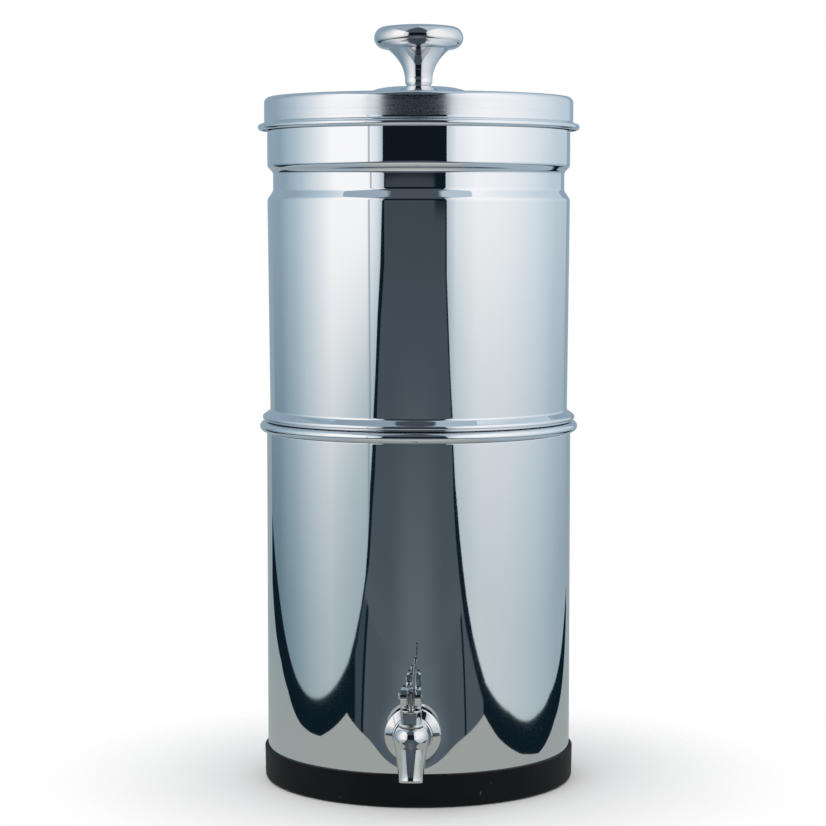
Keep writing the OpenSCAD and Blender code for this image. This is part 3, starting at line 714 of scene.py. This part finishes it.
def tapReach(p):
    # how far points lie outside the cast body
    turn = math.radians(tap["lean"])
    shoulder, plain = tap["shoulder"], tap["mouthPlain"]
    x, y, h = p[:, 0], p[:, 1] - tap["axis"], p[:, 2] - tap["shoulderZ"]
    hornY = y * math.cos(turn) - h * math.sin(turn)
    hornZ = y * math.sin(turn) + h * math.cos(turn)
    length = tap["shoulderZ"] - tap["mouthZ"]
    s = numpy.clip((hornZ + length - plain) / (length - plain), 0, 1)
    side = numpy.where(hornZ < 0, numpy.hypot(x, hornY) - hornGirth(s),
                       numpy.sqrt(x * x + hornY ** 2 + hornZ ** 2) - shoulder)
    horn = -smoothMin(-side, hornZ + length, tap["lip"])
    rise = tap["topZ"] - tap["shoulderZ"]
    girth = tap["top"] + (shoulder - tap["top"]) * numpy.sqrt(numpy.clip(1 - (h / rise) ** 2, 0, 1))
    top = numpy.where(h > 0, numpy.maximum(numpy.hypot(x, y) - girth, h - rise),
                      numpy.sqrt(x * x + y * y + h * h) - shoulder)
    neck = numpy.maximum(numpy.hypot(x, p[:, 2] - tap["height"]) - tap["neck"], -y)
    return smoothMin(smoothMin(horn, top, tap["blend"]), neck, tap["fillet"])


def fitToReach(piece):
    # moves the mesh onto the smooth skin, except where it is hidden in the flange
    flat = numpy.empty(len(piece.data.vertices) * 3)
    piece.data.vertices.foreach_get("co", flat)
    points = flat.reshape(-1, 3) / mm
    free = points[:, 1] < -tap["discFace"] - 1.5
    small, farthest = 0.01, 0.4
    for _ in range(8):
        reach = tapReach(points)
        slope = numpy.stack([(tapReach(points + step) - reach) / small
                             for step in numpy.eye(3) * small], axis=1)
        move = reach[:, None] * slope / numpy.maximum((slope ** 2).sum(1), 0.2)[:, None]
        points[free] -= numpy.clip(move, -farthest, farthest)[free]
    piece.data.vertices.foreach_set("co", (points * mm).reshape(-1))


def makeShank():
    radius, back, wallEnd, face = tap["shank"], tap["shankEnd"], tap["wallFace"], tap["discFace"]
    front = face + tap["flangeDeep"]
    section = rounded([(0, back), (radius - 0.8, back)])
    section += threaded(radius, back + 0.8, wallEnd - 5, tap["threadDeep"], tap["thread"])
    section += rounded([(radius, wallEnd - 4), (radius, face), (tap["flange"], face),
                        (tap["flange"], front, tap["flangeRound"]), (tap["neck"], front),
                        (0, front)])
    return lathe("tapShank", section, 96, acrossWall())


def makeTapBody():
    # a rough start, remeshed and moved onto the skin
    low, high, plain = tap["mouthZ"], tap["shoulderZ"], tap["mouthPlain"]
    outline = [(0, low), (tap["mouth"], low)]
    outline += [(hornGirth(i / 12), low + plain + (high - low - plain) * i / 12)
                for i in range(13)]
    verts, faces = turned(rounded(outline + [(0, high)]), 64)
    horn = ([leaning(*(v / mm)) * mm for v in verts], faces)
    wide, rise = tap["shoulder"] - tap["top"], tap["topZ"] - high
    cap = [Vector((0, high - tap["shoulder"]))] + arc((0, high), tap["shoulder"], -75, 0, 10)
    cap += [Vector((tap["top"] + wide * math.cos(a * math.pi / 20),
                    high + rise * math.sin(a * math.pi / 20))) for a in range(1, 11)]
    cap.append(Vector((0, tap["topZ"])))
    neckFrom, neckTo = tap["neckEnds"]
    neck = rounded([(0, neckFrom), (tap["neck"], neckFrom), (tap["neck"], neckTo), (0, neckTo)])
    piece = joined("tapBody", [horn, turned(cap, 64, atTap()), turned(neck, 64, acrossWall())])
    pressed(piece, "REMESH", mode="VOXEL", voxel_size=tap["grid"] * mm)
    fitToReach(piece)
    combined(piece, "UNION", makeShank())
    axis, seat, way = tap["axis"], tap["seatZ"], tap["height"]
    drill(piece, tap["bore"], leaning(0, 0, low - 2), leaning(0, 0, tap["orificeZ"]), 96)
    drill(piece, tap["orifice"], (0, axis, tap["orificeLow"]), (0, axis, seat + 1), 48)
    drill(piece, tap["chamber"], (0, axis, seat), (0, axis, tap["topZ"] + 1))
    drill(piece, tap["waterWay"], (0, axis, way), (0, tap["inside"], way), 48)
    return standFor(piece, "tap_body")


bonnet = {"radius": 7.15, "flange": 8.05, "flangeHigh": 1.1, "seal": 0.8, "high": 11.7,
          "lipHigh": 1.6, "lipOut": 0.2, "spigot": 6.25, "spigotLong": 5.5, "cavity": 4.9,
          "guide": 2.55, "guideLong": 5.5, "flat": 5.6, "flatTurn": -8, "flatLow": 2,
          "flatCut": (12, 8, 7.2)}


def makeBonnet():
    low = tap["topZ"] + bonnet["seal"]
    high = low + bonnet["high"]
    foot = tap["topZ"] - bonnet["spigotLong"]
    radius, spigot, cavity = bonnet["radius"], bonnet["spigot"], bonnet["cavity"]
    flange, neck = low + bonnet["flangeHigh"], high - bonnet["lipHigh"]
    lip, guide = radius + bonnet["lipOut"], bonnet["guide"]
    section = rounded([
        (cavity, foot), (spigot, foot), (spigot, low), (bonnet["flange"], low, 0.25),
        (bonnet["flange"], flange, 0.35), (radius, flange + 0.5, 0.3), (radius, neck, 0.1),
        (lip, neck + 0.3, 0.1), (lip, high, 0.5), (guide, high),
        (guide, high - bonnet["guideLong"]), (cavity, high - bonnet["guideLong"])], 4)
    piece = lathe("tapBonnet", section, 96, atTap())
    wide, deep, tall = bonnet["flatCut"]
    for turn in (0, 180):
        # a pair of flats for the spanner
        a = math.radians(bonnet["flatTurn"] + turn)
        out = Vector((math.sin(a), -math.cos(a), 0))
        middle = Vector((0, tap["axis"], low + bonnet["flatLow"] + tall / 2)) + out * (
            bonnet["flat"] + deep / 2)
        bm = bmesh.new()
        bmesh.ops.create_cube(bm, size=mm, matrix=Matrix.Translation(middle * mm)
                              @ Matrix.Rotation(a, 4, "Z") @ Matrix.Diagonal((wide, deep, tall, 1)))
        cutter = newPiece("cutter", [v.co.copy() for v in bm.verts],
                          [[v.index for v in f.verts] for f in bm.faces])
        bm.free()
        combined(piece, "DIFFERENCE", cutter)
    return standFor(piece, "tap_bonnet")


lever = {"pinZ": 84, "pin": 1.2, "fork": 6.9, "gap": 2.8, "camLow": 8.7, "camRise": 3,
         "camTurn": 85, "camSteps": 17, "half": 5, "top": 7, "round": 2.6, "shoulder": 2.2,
         "foot": 1, "footLow": 0.3, "bridge": 4.2, "bridgeRound": 1.2, "edge": 0.35,
         "boss": (-1.4, 0, 7.4), "bossSize": (4.4, 6.4, 5.6), "bossSoft": 3.5, "bladeLow": 5.5,
         "bladeHigh": 26, "bladeX": 2.1, "bladeLean": 1, "bladeBow": 0.3,
         "bladeThick": (2.8, 1.5), "bladeWide": (8.1, 8.9), "bladeSteps": 16, "tipIn": 0.3,
         "tipPower": 1.8, "pinHead": 2.4, "pinHeadDeep": 1.8, "pinTail": 0.5}


def aboutPin(x, y, z):
    return Vector((x, tap["axis"] + y, lever["pinZ"] + z)) * mm


def plate(name, outline, low, high, alongX):
    # an outline given some depth, across the tap or away from the wall
    count = len(outline)
    verts = [aboutPin(d, p[0], p[1]) if alongX else aboutPin(p[0], d, p[1])
             for d in (low, high) for p in outline]
    faces = [list(range(count)), list(range(2 * count - 1, count - 1, -1))]
    faces += [(i, i + count, (i + 1) % count + count, (i + 1) % count) for i in range(count)]
    return newPiece(name, verts, faces)


def makeFork():
    # the cam's outline from the side, the fork's from the front
    rate = lever["camRise"] / math.radians(lever["camTurn"])
    edge = []
    for step in range(lever["camSteps"] + 1):
        a = math.radians(lever["camTurn"] * step / lever["camSteps"])
        h = lever["camLow"] + rate * a
        edge.append((-h * math.sin(a) - rate * math.cos(a), -h * math.cos(a) + rate * math.sin(a)))
    half, top, r = lever["half"], lever["top"], lever["round"]
    side = rounded(edge + [
        (edge[-1][0] + 0.5, edge[-1][1] + 2), (-half, top - 2, r), (r - half, top, 1),
        (half, top, r), (half, -lever["camLow"], r), (2, -lever["camLow"])])
    out, gap, foot = lever["fork"], lever["gap"], lever["foot"]
    low = -lever["camLow"] - lever["footLow"]
    front = rounded([
        (-out, low, foot), (-gap, low, foot), (-gap, lever["bridge"], lever["bridgeRound"]),
        (gap, lever["bridge"], lever["bridgeRound"]), (gap, low, foot), (out, low, foot),
        (out, top, lever["shoulder"]), (-out, top, lever["shoulder"])])
    piece = plate("tapLever", side, -out - 1, out + 1, True)
    combined(piece, "INTERSECT", plate("front", front, -20, 20, False))
    pressed(piece, "BEVEL", limit_method="ANGLE", angle_limit=math.radians(40),
            width=lever["edge"] * mm, segments=3)
    return piece


def makeBoss():
    bm = bmesh.new()
    bmesh.ops.create_cube(bm, size=2)
    bmesh.ops.subdivide_edges(bm, edges=bm.edges, cuts=15, use_grid_fill=True)
    power = lever["bossSoft"]
    verts = []
    for v in bm.verts:
        size = sum(abs(c) ** power for c in v.co) ** (1 / power)
        verts.append(aboutPin(*(m + c / size * w / 2 for m, c, w in zip(
            lever["boss"], v.co, lever["bossSize"]))))
    faces = [[v.index for v in f.verts] for f in bm.faces]
    bm.free()
    return newPiece("boss", verts, faces)


def makeBlade():
    verts, steps = [], lever["bladeSteps"]
    ring = [(-1, -0.8), (-0.6, -1), (0.6, -1), (1, -0.8), (1, 0.8), (0.6, 1), (-0.6, 1), (-1, 0.8)]
    for i in range(steps + 1):
        s = i / steps
        thick, wide = [a + (b - a) * s for a, b in (lever["bladeThick"], lever["bladeWide"])]
        if i > steps - 3:
            wide -= lever["tipIn"] * (i - steps + 3) ** lever["tipPower"]
        middle = lever["bladeX"] + lever["bladeLean"] * s - lever["bladeBow"] * math.sin(
            math.pi * s)
        z = lever["bladeLow"] + (lever["bladeHigh"] - lever["bladeLow"]) * s
        verts += [aboutPin(middle + x * thick / 2, y * wide / 2, z) for x, y in ring]
    return newPiece("blade", verts, tubeFaces(steps, len(ring)))


def makeLever():
    piece, boss, blade = makeFork(), makeBoss(), makeBlade()
    combined(piece, "UNION", boss)
    combined(piece, "UNION", blade)
    pin = (tap["axis"], lever["pinZ"])
    drill(piece, lever["pin"] + tap["fit"], (-9, *pin), (9, *pin), 32)
    return standFor(piece, "lever")


def makePin():
    half, head = lever["fork"], lever["pinHead"]
    section = rounded([
        (0, -half - lever["pinTail"]), (lever["pin"], -half - lever["pinTail"], 0.3),
        (lever["pin"], half), (head, half, 0.2), (head, half + lever["pinHeadDeep"], 0.9),
        (0, half + lever["pinHeadDeep"])])
    place = Matrix.Translation(aboutPin(0, 0, 0)) @ Matrix.Rotation(math.radians(-90), 4, "Y")
    return standFor(lathe("leverPin", section, 48, place), "lever_pin")


spring = {"radius": 3.9, "wire": 0.4, "turns": 7, "low": 51.15, "high": 69.05, "keep": 0.84,
          "parts": 32, "sides": 10}


def makeSpring():
    steps, sides = spring["turns"] * spring["parts"], spring["sides"]
    verts = []
    for i in range(steps + 1):
        a = fullTurn * i / spring["parts"]
        for k in range(sides):
            b = fullTurn * k / sides
            r = spring["radius"] + spring["wire"] * math.cos(b)
            z = spring["low"] + (spring["high"] - spring["low"]) * i / steps
            verts.append(Vector((r * math.cos(a), tap["axis"] + r * math.sin(a),
                                 z + spring["wire"] * math.sin(b))) * mm)
    piece = standFor(newPiece("valveSpring", verts, tubeFaces(steps, sides)), "valve_spring")
    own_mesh(piece)


makeDisc()
makeGasket("outerGasket", "tap_outer_gasket", gasket["outer"], tap["wallFace"], wall["radius"])
makeGasket("innerGasket", "tap_inner_gasket", gasket["inner"], gasket["innerFace"],
           wall["radius"] - wall["sheet"])
makeTapBody()
makeBonnet()
makeLever()
makePin()
makeSpring()
print("tap made")


# floor and studio

def stagePiece(name, verts, faces, material):
    piece = newMesh(name, verts, faces)
    piece.data.materials.append(material)
    return piece


def card(name, corners, material):
    # a flat glowing card that only shiny surfaces see: a painted reflection of the studio, not a
    # lamp
    piece = stagePiece(name, corners, [tuple(range(len(corners)))], material)
    for ray in ("camera", "diffuse", "transmission", "shadow"):
        setattr(piece, "visible_" + ray, False)


def seen(r, g, b):
    # the light that shows as this 0 to 255 colour in polished steel
    linear = [((c / 255 + 0.055) / 1.055) ** 2.4 for c in (r, g, b)]
    return tuple(c / s for c, s in zip(linear, steelLook["colour"]))


def seenStops(stops):
    return [(place, seen(*colour)) for place, colour in stops]


studio = {"leftWall": -2.15, "rightWall": 1.54, "ceiling": 3.2, "ground": -0.8, "reach": 9,
          "navy": seen(12, 26, 36), "black": seen(14, 22, 30)}


def uprightCard(name, left, right, y, low, material):
    high = studio["ceiling"]
    card(name, [(left, y, low), (right, y, low), (right, y, high), (left, y, high)], material)


def levelCard(name, z, material):
    far = studio["reach"]
    card(name, [(-far, -far, z), (far, -far, z), (far, far, z), (-far, far, z)], material)


# side: colours by direction; low: dimming by height; outline and frame: y and z
panels = {
    "left": {
        "side": [(0.135, (165, 180, 193)), (0.16, (216, 223, 231)), (0.21, (246, 247, 250)),
                 (0.36, (248, 248, 250)), (0.45, (215, 223, 230)), (0.56, (172, 191, 205)),
                 (0.7, (135, 157, 173))],
        "low": [(-0.36, 0.52), (-0.22, 0.57), (-0.1, 0.65), (0.11, 0.81), (0.35, 0.96), (0.6, 1)],
        "outline": [(-4.72, 3.2), (-4.71, 0.41), (-4.32, 0.2), (-3.92, 0.09), (-3.67, -0.02),
                    (-3.45, -0.1), (-3.2, -0.18), (-3.12, -0.24), (-2.97, -0.29),
                    (-2.8, -0.33), (-2.5, -0.355), (-2.1, -0.37), (-1.75, -0.375),
                    (-1.4, -0.365), (-0.6, -0.34), (0.4, -0.31), (1.6, -0.265), (3, -0.23),
                    (3, 3.2)],
        "frame": [(-6, 3.2), (-5.9, 0.4), (-4.95, 0.17), (-4.35, 0.05), (-4, -0.06),
                  (-3.7, -0.2), (-3.45, -0.25), (-3.15, -0.34), (-2.6, -0.37), (-2.25, -0.4),
                  (3, -0.42), (3, 3.2)]},
    "right": {
        "side": [(0.135, (192, 204, 213)), (0.165, (224, 232, 238)), (0.26, (244, 246, 250)),
                 (0.4, (236, 240, 246)), (0.55, (216, 226, 235)), (0.7, (190, 205, 217)),
                 (0.84, (176, 194, 207))],
        "low": [(-0.25, 0.62), (-0.12, 0.63), (0, 0.69), (0.14, 0.76), (0.35, 0.9), (0.55, 1)],
        "outline": [(-3.72, 3.2), (-3.7, 0.42), (-3.66, 0.2), (-3.4, 0.1), (-3.2, 0.02),
                    (-2.94, -0.05), (-2.8, -0.1), (-2.6, -0.135), (-2.45, -0.165),
                    (-2.25, -0.195), (-2, -0.225), (-1.7, -0.247), (-1.2, -0.26),
                    (-0.5, -0.24), (0.3, -0.24), (0.8, -0.25), (1.7, -0.295), (3, -0.345),
                    (3, 3.2)],
        "frame": [(-4.1, 3.2), (-3.9, 0.2), (-3.5, 0.05), (-3.2, -0.03), (-3.06, -0.08),
                  (-2.98, -0.15), (-2.76, -0.21), (-2.45, -0.25), (-2.12, -0.28),
                  (-1.2, -0.3), (3, -0.5), (3, 3.2)]},
}
marks = {"front": (-1.6, -0.6, -0.1, 0), "frontHigh": (-0.1, 0.3), "frontAmount": 0.45,
         "frontColour": seen(118, 150, 165), "seam": (-0.625, -0.613, -0.601, -0.589),
         "seamAmount": 0.7, "seamColour": seen(120, 140, 155), "lowRed": 1.22, "lowBlue": 0.97,
         "frameGap": 0.01}


def polar(g):
    # how far and in which direction a point lies, 0 towards the tap's side, and its height
    x, y, z = g.axes()
    return (x * x + y * y) ** 0.5, x.math("ARCTAN2", 0 - y), z


def panelGlow(name, look):
    # painted reflection of a window: bright beside the filter, dimmer and bluer at the back and low
    # down, with a dimmer patch in front low down and a seam
    g = newFinish(name)
    around, z = polar(g)[1:]
    side = (around.math("ABSOLUTE") / math.pi).ramp(seenStops(look["side"]))
    dim = [((h + 0.5) / 1.5, (v ** marks["lowRed"], v, v ** marks["lowBlue"]))
           for h, v in look["low"]]
    low = ((z + 0.5) / 1.5).ramp(dim)
    colour = g.mix(1.0, side, low, "MULTIPLY")
    front = around.band(*marks["front"]) * (1 - z.between(*marks["frontHigh"]))
    colour = g.mix(front * marks["frontAmount"], colour, marks["frontColour"])
    seam = around.band(*marks["seam"])
    return g.glow(g.mix(seam * marks["seamAmount"], colour, marks["seamColour"]))


def makePanels():
    # painted reflections: a tall glowing window on each side, in a dark frame that stands just
    # behind it
    for side, look in panels.items():
        x = studio[side + "Wall"]
        card(side + "Panel", [(x, y, z) for y, z in look["outline"]],
             panelGlow(side + "Panel", look))
        behind = x + math.copysign(marks["frameGap"], x)
        card(side + "Frame", [(behind, y, z) for y, z in look["frame"]],
             newFinish(side + "Frame").glow(studio["navy"]))


room = {"left": -4.6, "right": 3.6, "y": -5.0, "middle": (-1.9, -0.2, 0.2, 1.9),
        "middleHigh": (-0.8, 0.1), "middleColour": seen(88, 99, 108), "edge": (1.05, 1.4),
        "edgeHigh": (0.28, 0.38), "top": (0.5, 0.53),
        "slate": [(0.0, (76, 86, 95)), (0.15, (70, 80, 89)), (0.5, (66, 76, 86)),
                  (0.8, (58, 67, 75))]}


def makeRoom():
    # painted reflection of the dark studio behind the camera, a little paler low in the middle
    g = newFinish("darkRoom")
    x, _, z = g.axes()
    slate = ((z + 0.8) / 1.6).ramp(seenStops(room["slate"]))
    middle = x.band(*room["middle"]) * (1 - z.between(*room["middleHigh"]))
    slate = g.mix(middle, slate, room["middleColour"])
    edge = x.between(*room["edge"]) * z.between(*room["edgeHigh"])
    slate = g.mix(edge, slate, studio["navy"])
    shade = g.mix(z.between(*room["top"]), slate, studio["black"])
    uprightCard("darkRoom", room["left"], room["right"], room["y"], studio["ground"],
                g.glow(shade))


ground = {"slate": seen(72, 82, 91), "middle": (-0.45, -0.05, 0.05, 0.45),
          "middleColour": seen(90, 102, 110), "bend": (4.2, 7.5), "bendAmount": 0.11,
          "right": (0, 0.01), "line": (0.625, 0.635, 0.65, 0.66), "leftFar": (0.675, 0.685),
          "leftEdge": (0.675, 0.685, 0.71, 0.72), "strip": (-0.81, -0.79),
          "stripColour": seen(54, 66, 76), "rightFar": (0.885, 0.9), "near": (2.4, 2.8),
          "nearColour": seen(150, 168, 182), "nearMiddle": (-0.88, -0.74, 0.64, 0.78),
          "nearFront": seen(172, 180, 183)}


def makeGround():
    # painted reflection of the studio floor: pale round the table, slate in front and navy at the
    # sides
    g = newFinish("darkGround")
    away, around, _ = polar(g)
    slate = g.mix(around.band(*ground["middle"]), ground["slate"], ground["middleColour"])
    side = around.math("ABSOLUTE") + away.between(*ground["bend"]) * ground["bendAmount"]
    right = around.between(*ground["right"])
    slate = g.mix(side.band(*ground["line"]) * right, slate, studio["navy"])
    far = g.mix(around.between(*ground["strip"]), studio["navy"], ground["stripColour"])
    far = g.mix(side.band(*ground["leftEdge"]) * (1 - right), far, studio["navy"])
    far = g.mix((1 - right) * side.between(*ground["leftFar"]), slate, far)
    far = g.mix(around.between(*ground["rightFar"]), far, studio["navy"])
    near = g.mix(around.band(*ground["nearMiddle"]), ground["nearColour"], ground["nearFront"])
    shade = g.mix(away.between(*ground["near"]), near, far)
    levelCard("darkGround", studio["ground"], g.glow(shade))


ceiling = {"turn": (-0.6, 0.9), "left": seen(148, 166, 181), "right": seen(176, 192, 206),
           "dark": (-0.68, -0.55, 0.45, 0.58), "darkColour": seen(70, 79, 87)}


def makeCeiling():
    # painted reflection of the ceiling, brighter to the right, and dark above the camera
    g = newFinish("softCeiling")
    around = polar(g)[1]
    shade = g.mix(around.between(*ceiling["turn"]), ceiling["left"], ceiling["right"])
    shade = g.mix(around.band(*ceiling["dark"]), shade, ceiling["darkColour"])
    levelCard("softCeiling", studio["ceiling"], g.glow(shade))


back = {"y": 3, "rise": (-0.8, 2), "low": seen(128, 148, 163), "high": seen(141, 161, 177)}


def makeBack():
    # painted reflection of the wall behind the filter, paler higher up
    g = newFinish("dimBack")
    shade = g.mix(g.axes()[2].between(*back["rise"]), back["low"], back["high"])
    uprightCard("dimBack", studio["leftWall"], studio["rightWall"], back["y"], studio["ground"],
                g.glow(shade))


paper = {"colour": seen(152, 158, 156), "far": seen(137, 152, 158), "high": seen(133, 154, 173),
         "fade": (-0.3, 0.6), "rise": (0.0, 0.6), "lift": 0.0004, "left": -0.7, "right": 0.5,
         "back": 0.9,
         "outline": [(-0.305, -0.292), (0.3, -0.292), (0.28, -0.238), (0.256, -0.185),
                     (0.222, -0.09), (0.22, -0.03), (0.255, 0.03), (0.29, 0.1), (0.34, 0.3),
                     (0.5, 0.9), (-0.7, 0.9), (-0.56, 0.45), (-0.51, 0.256), (-0.433, 0.1),
                     (-0.33, -0.034), (-0.298, -0.09), (-0.277, -0.135), (-0.288, -0.2)]}


def makeTable():
    # painted reflection of the sheet of paper under the filter, which sweeps up behind it
    g = newFinish("paperTable")
    shade = g.mix(g.axes()[1].between(*paper["fade"]), paper["colour"], paper["far"])
    card("paperTable", [(x, y, paper["lift"]) for x, y in paper["outline"]], g.glow(shade))
    g = newFinish("paperSweep")
    shade = g.mix(g.axes()[2].between(*paper["rise"]), paper["far"], paper["high"])
    uprightCard("paperSweep", paper["left"], paper["right"], paper["back"], 0, g.glow(shade))


floor = {"radius": 1.1, "sides": 96, "fade": (0.13, 0.3), "colour": (0.98, 0.98, 0.98),
         "cloud": (0.94, 0.94, 0.94), "clouds": 0.2}


def makeFloor():
    g = newFinish("paleFloor")
    x, y, _ = g.axes()
    away = (x * x + y * y) ** 0.5
    shade = g.mix(g.noise(even, 5, 2) * floor["clouds"], floor["colour"], floor["cloud"])
    g.surface(Base_Color=shade, Roughness=0.9, Specular_IOR_Level=0.0,
              Alpha=1 - away.between(*floor["fade"]))
    size, sides = floor["radius"], floor["sides"]
    rim = [(size * math.cos(fullTurn * k / sides), size * math.sin(fullTurn * k / sides), 0)
           for k in range(sides)]
    piece = stagePiece("paleFloor", rim, [tuple(range(sides))], g.owner)
    piece.visible_glossy = False


def aim(thing, place, target):
    thing.location = place
    thing.rotation_euler = (Vector(place) - Vector(target)).to_track_quat("Z", "Y").to_euler()


light = {"sky": 0.9, "key": 9, "keyPlace": (-1.6, -1.7, 2.2), "keySize": 1.8}


def makeLight():
    world = bpy.data.worlds.new("studio")
    bpy.context.scene.world = world
    g = Graph(world)
    # white to the camera and in metal, a little dimmer as light
    paths = g.add("ShaderNodeLightPath").socket.node.outputs
    direct = [Wire(g, paths[name])
              for name in ("Is Camera Ray", "Is Glossy Ray", "Is Transmission Ray")]
    white = direct[0].math("MAXIMUM", direct[1]).math("MAXIMUM", direct[2])
    shader = g.add("ShaderNodeBackground", None,
                   {"Color": (1, 1, 1), "Strength": light["sky"] + white * (1 - light["sky"])})
    g.add("ShaderNodeOutputWorld", None, {"Surface": shader})
    lamp = bpy.data.lights.new("softKey", "AREA")
    lamp.energy = light["key"]
    lamp.size = light["keySize"]
    holder = newObject("softKey", lamp)
    aim(holder, light["keyPlace"], (0, 0, 0))
    holder.visible_glossy = False
    holder.visible_camera = False


makePanels()
makeRoom()
makeGround()
makeCeiling()
makeBack()
makeTable()
makeFloor()
makeLight()
print("studio made")


# camera

eye = {"place": (0.0654, -1.8264, 0.4072), "target": (-0.0041, 0, 0.2654), "lens": 109.95,
       "sensor": 36, "nearest": 0.01}
camera = newObject("camera", bpy.data.cameras.new("camera"))
aim(camera, eye["place"], eye["target"])
camera.data.sensor_width = eye["sensor"]
camera.data.lens = eye["lens"]
camera.data.clip_start = eye["nearest"]
bpy.context.scene.camera = camera
bpy.context.scene.view_settings.view_transform = "Standard"
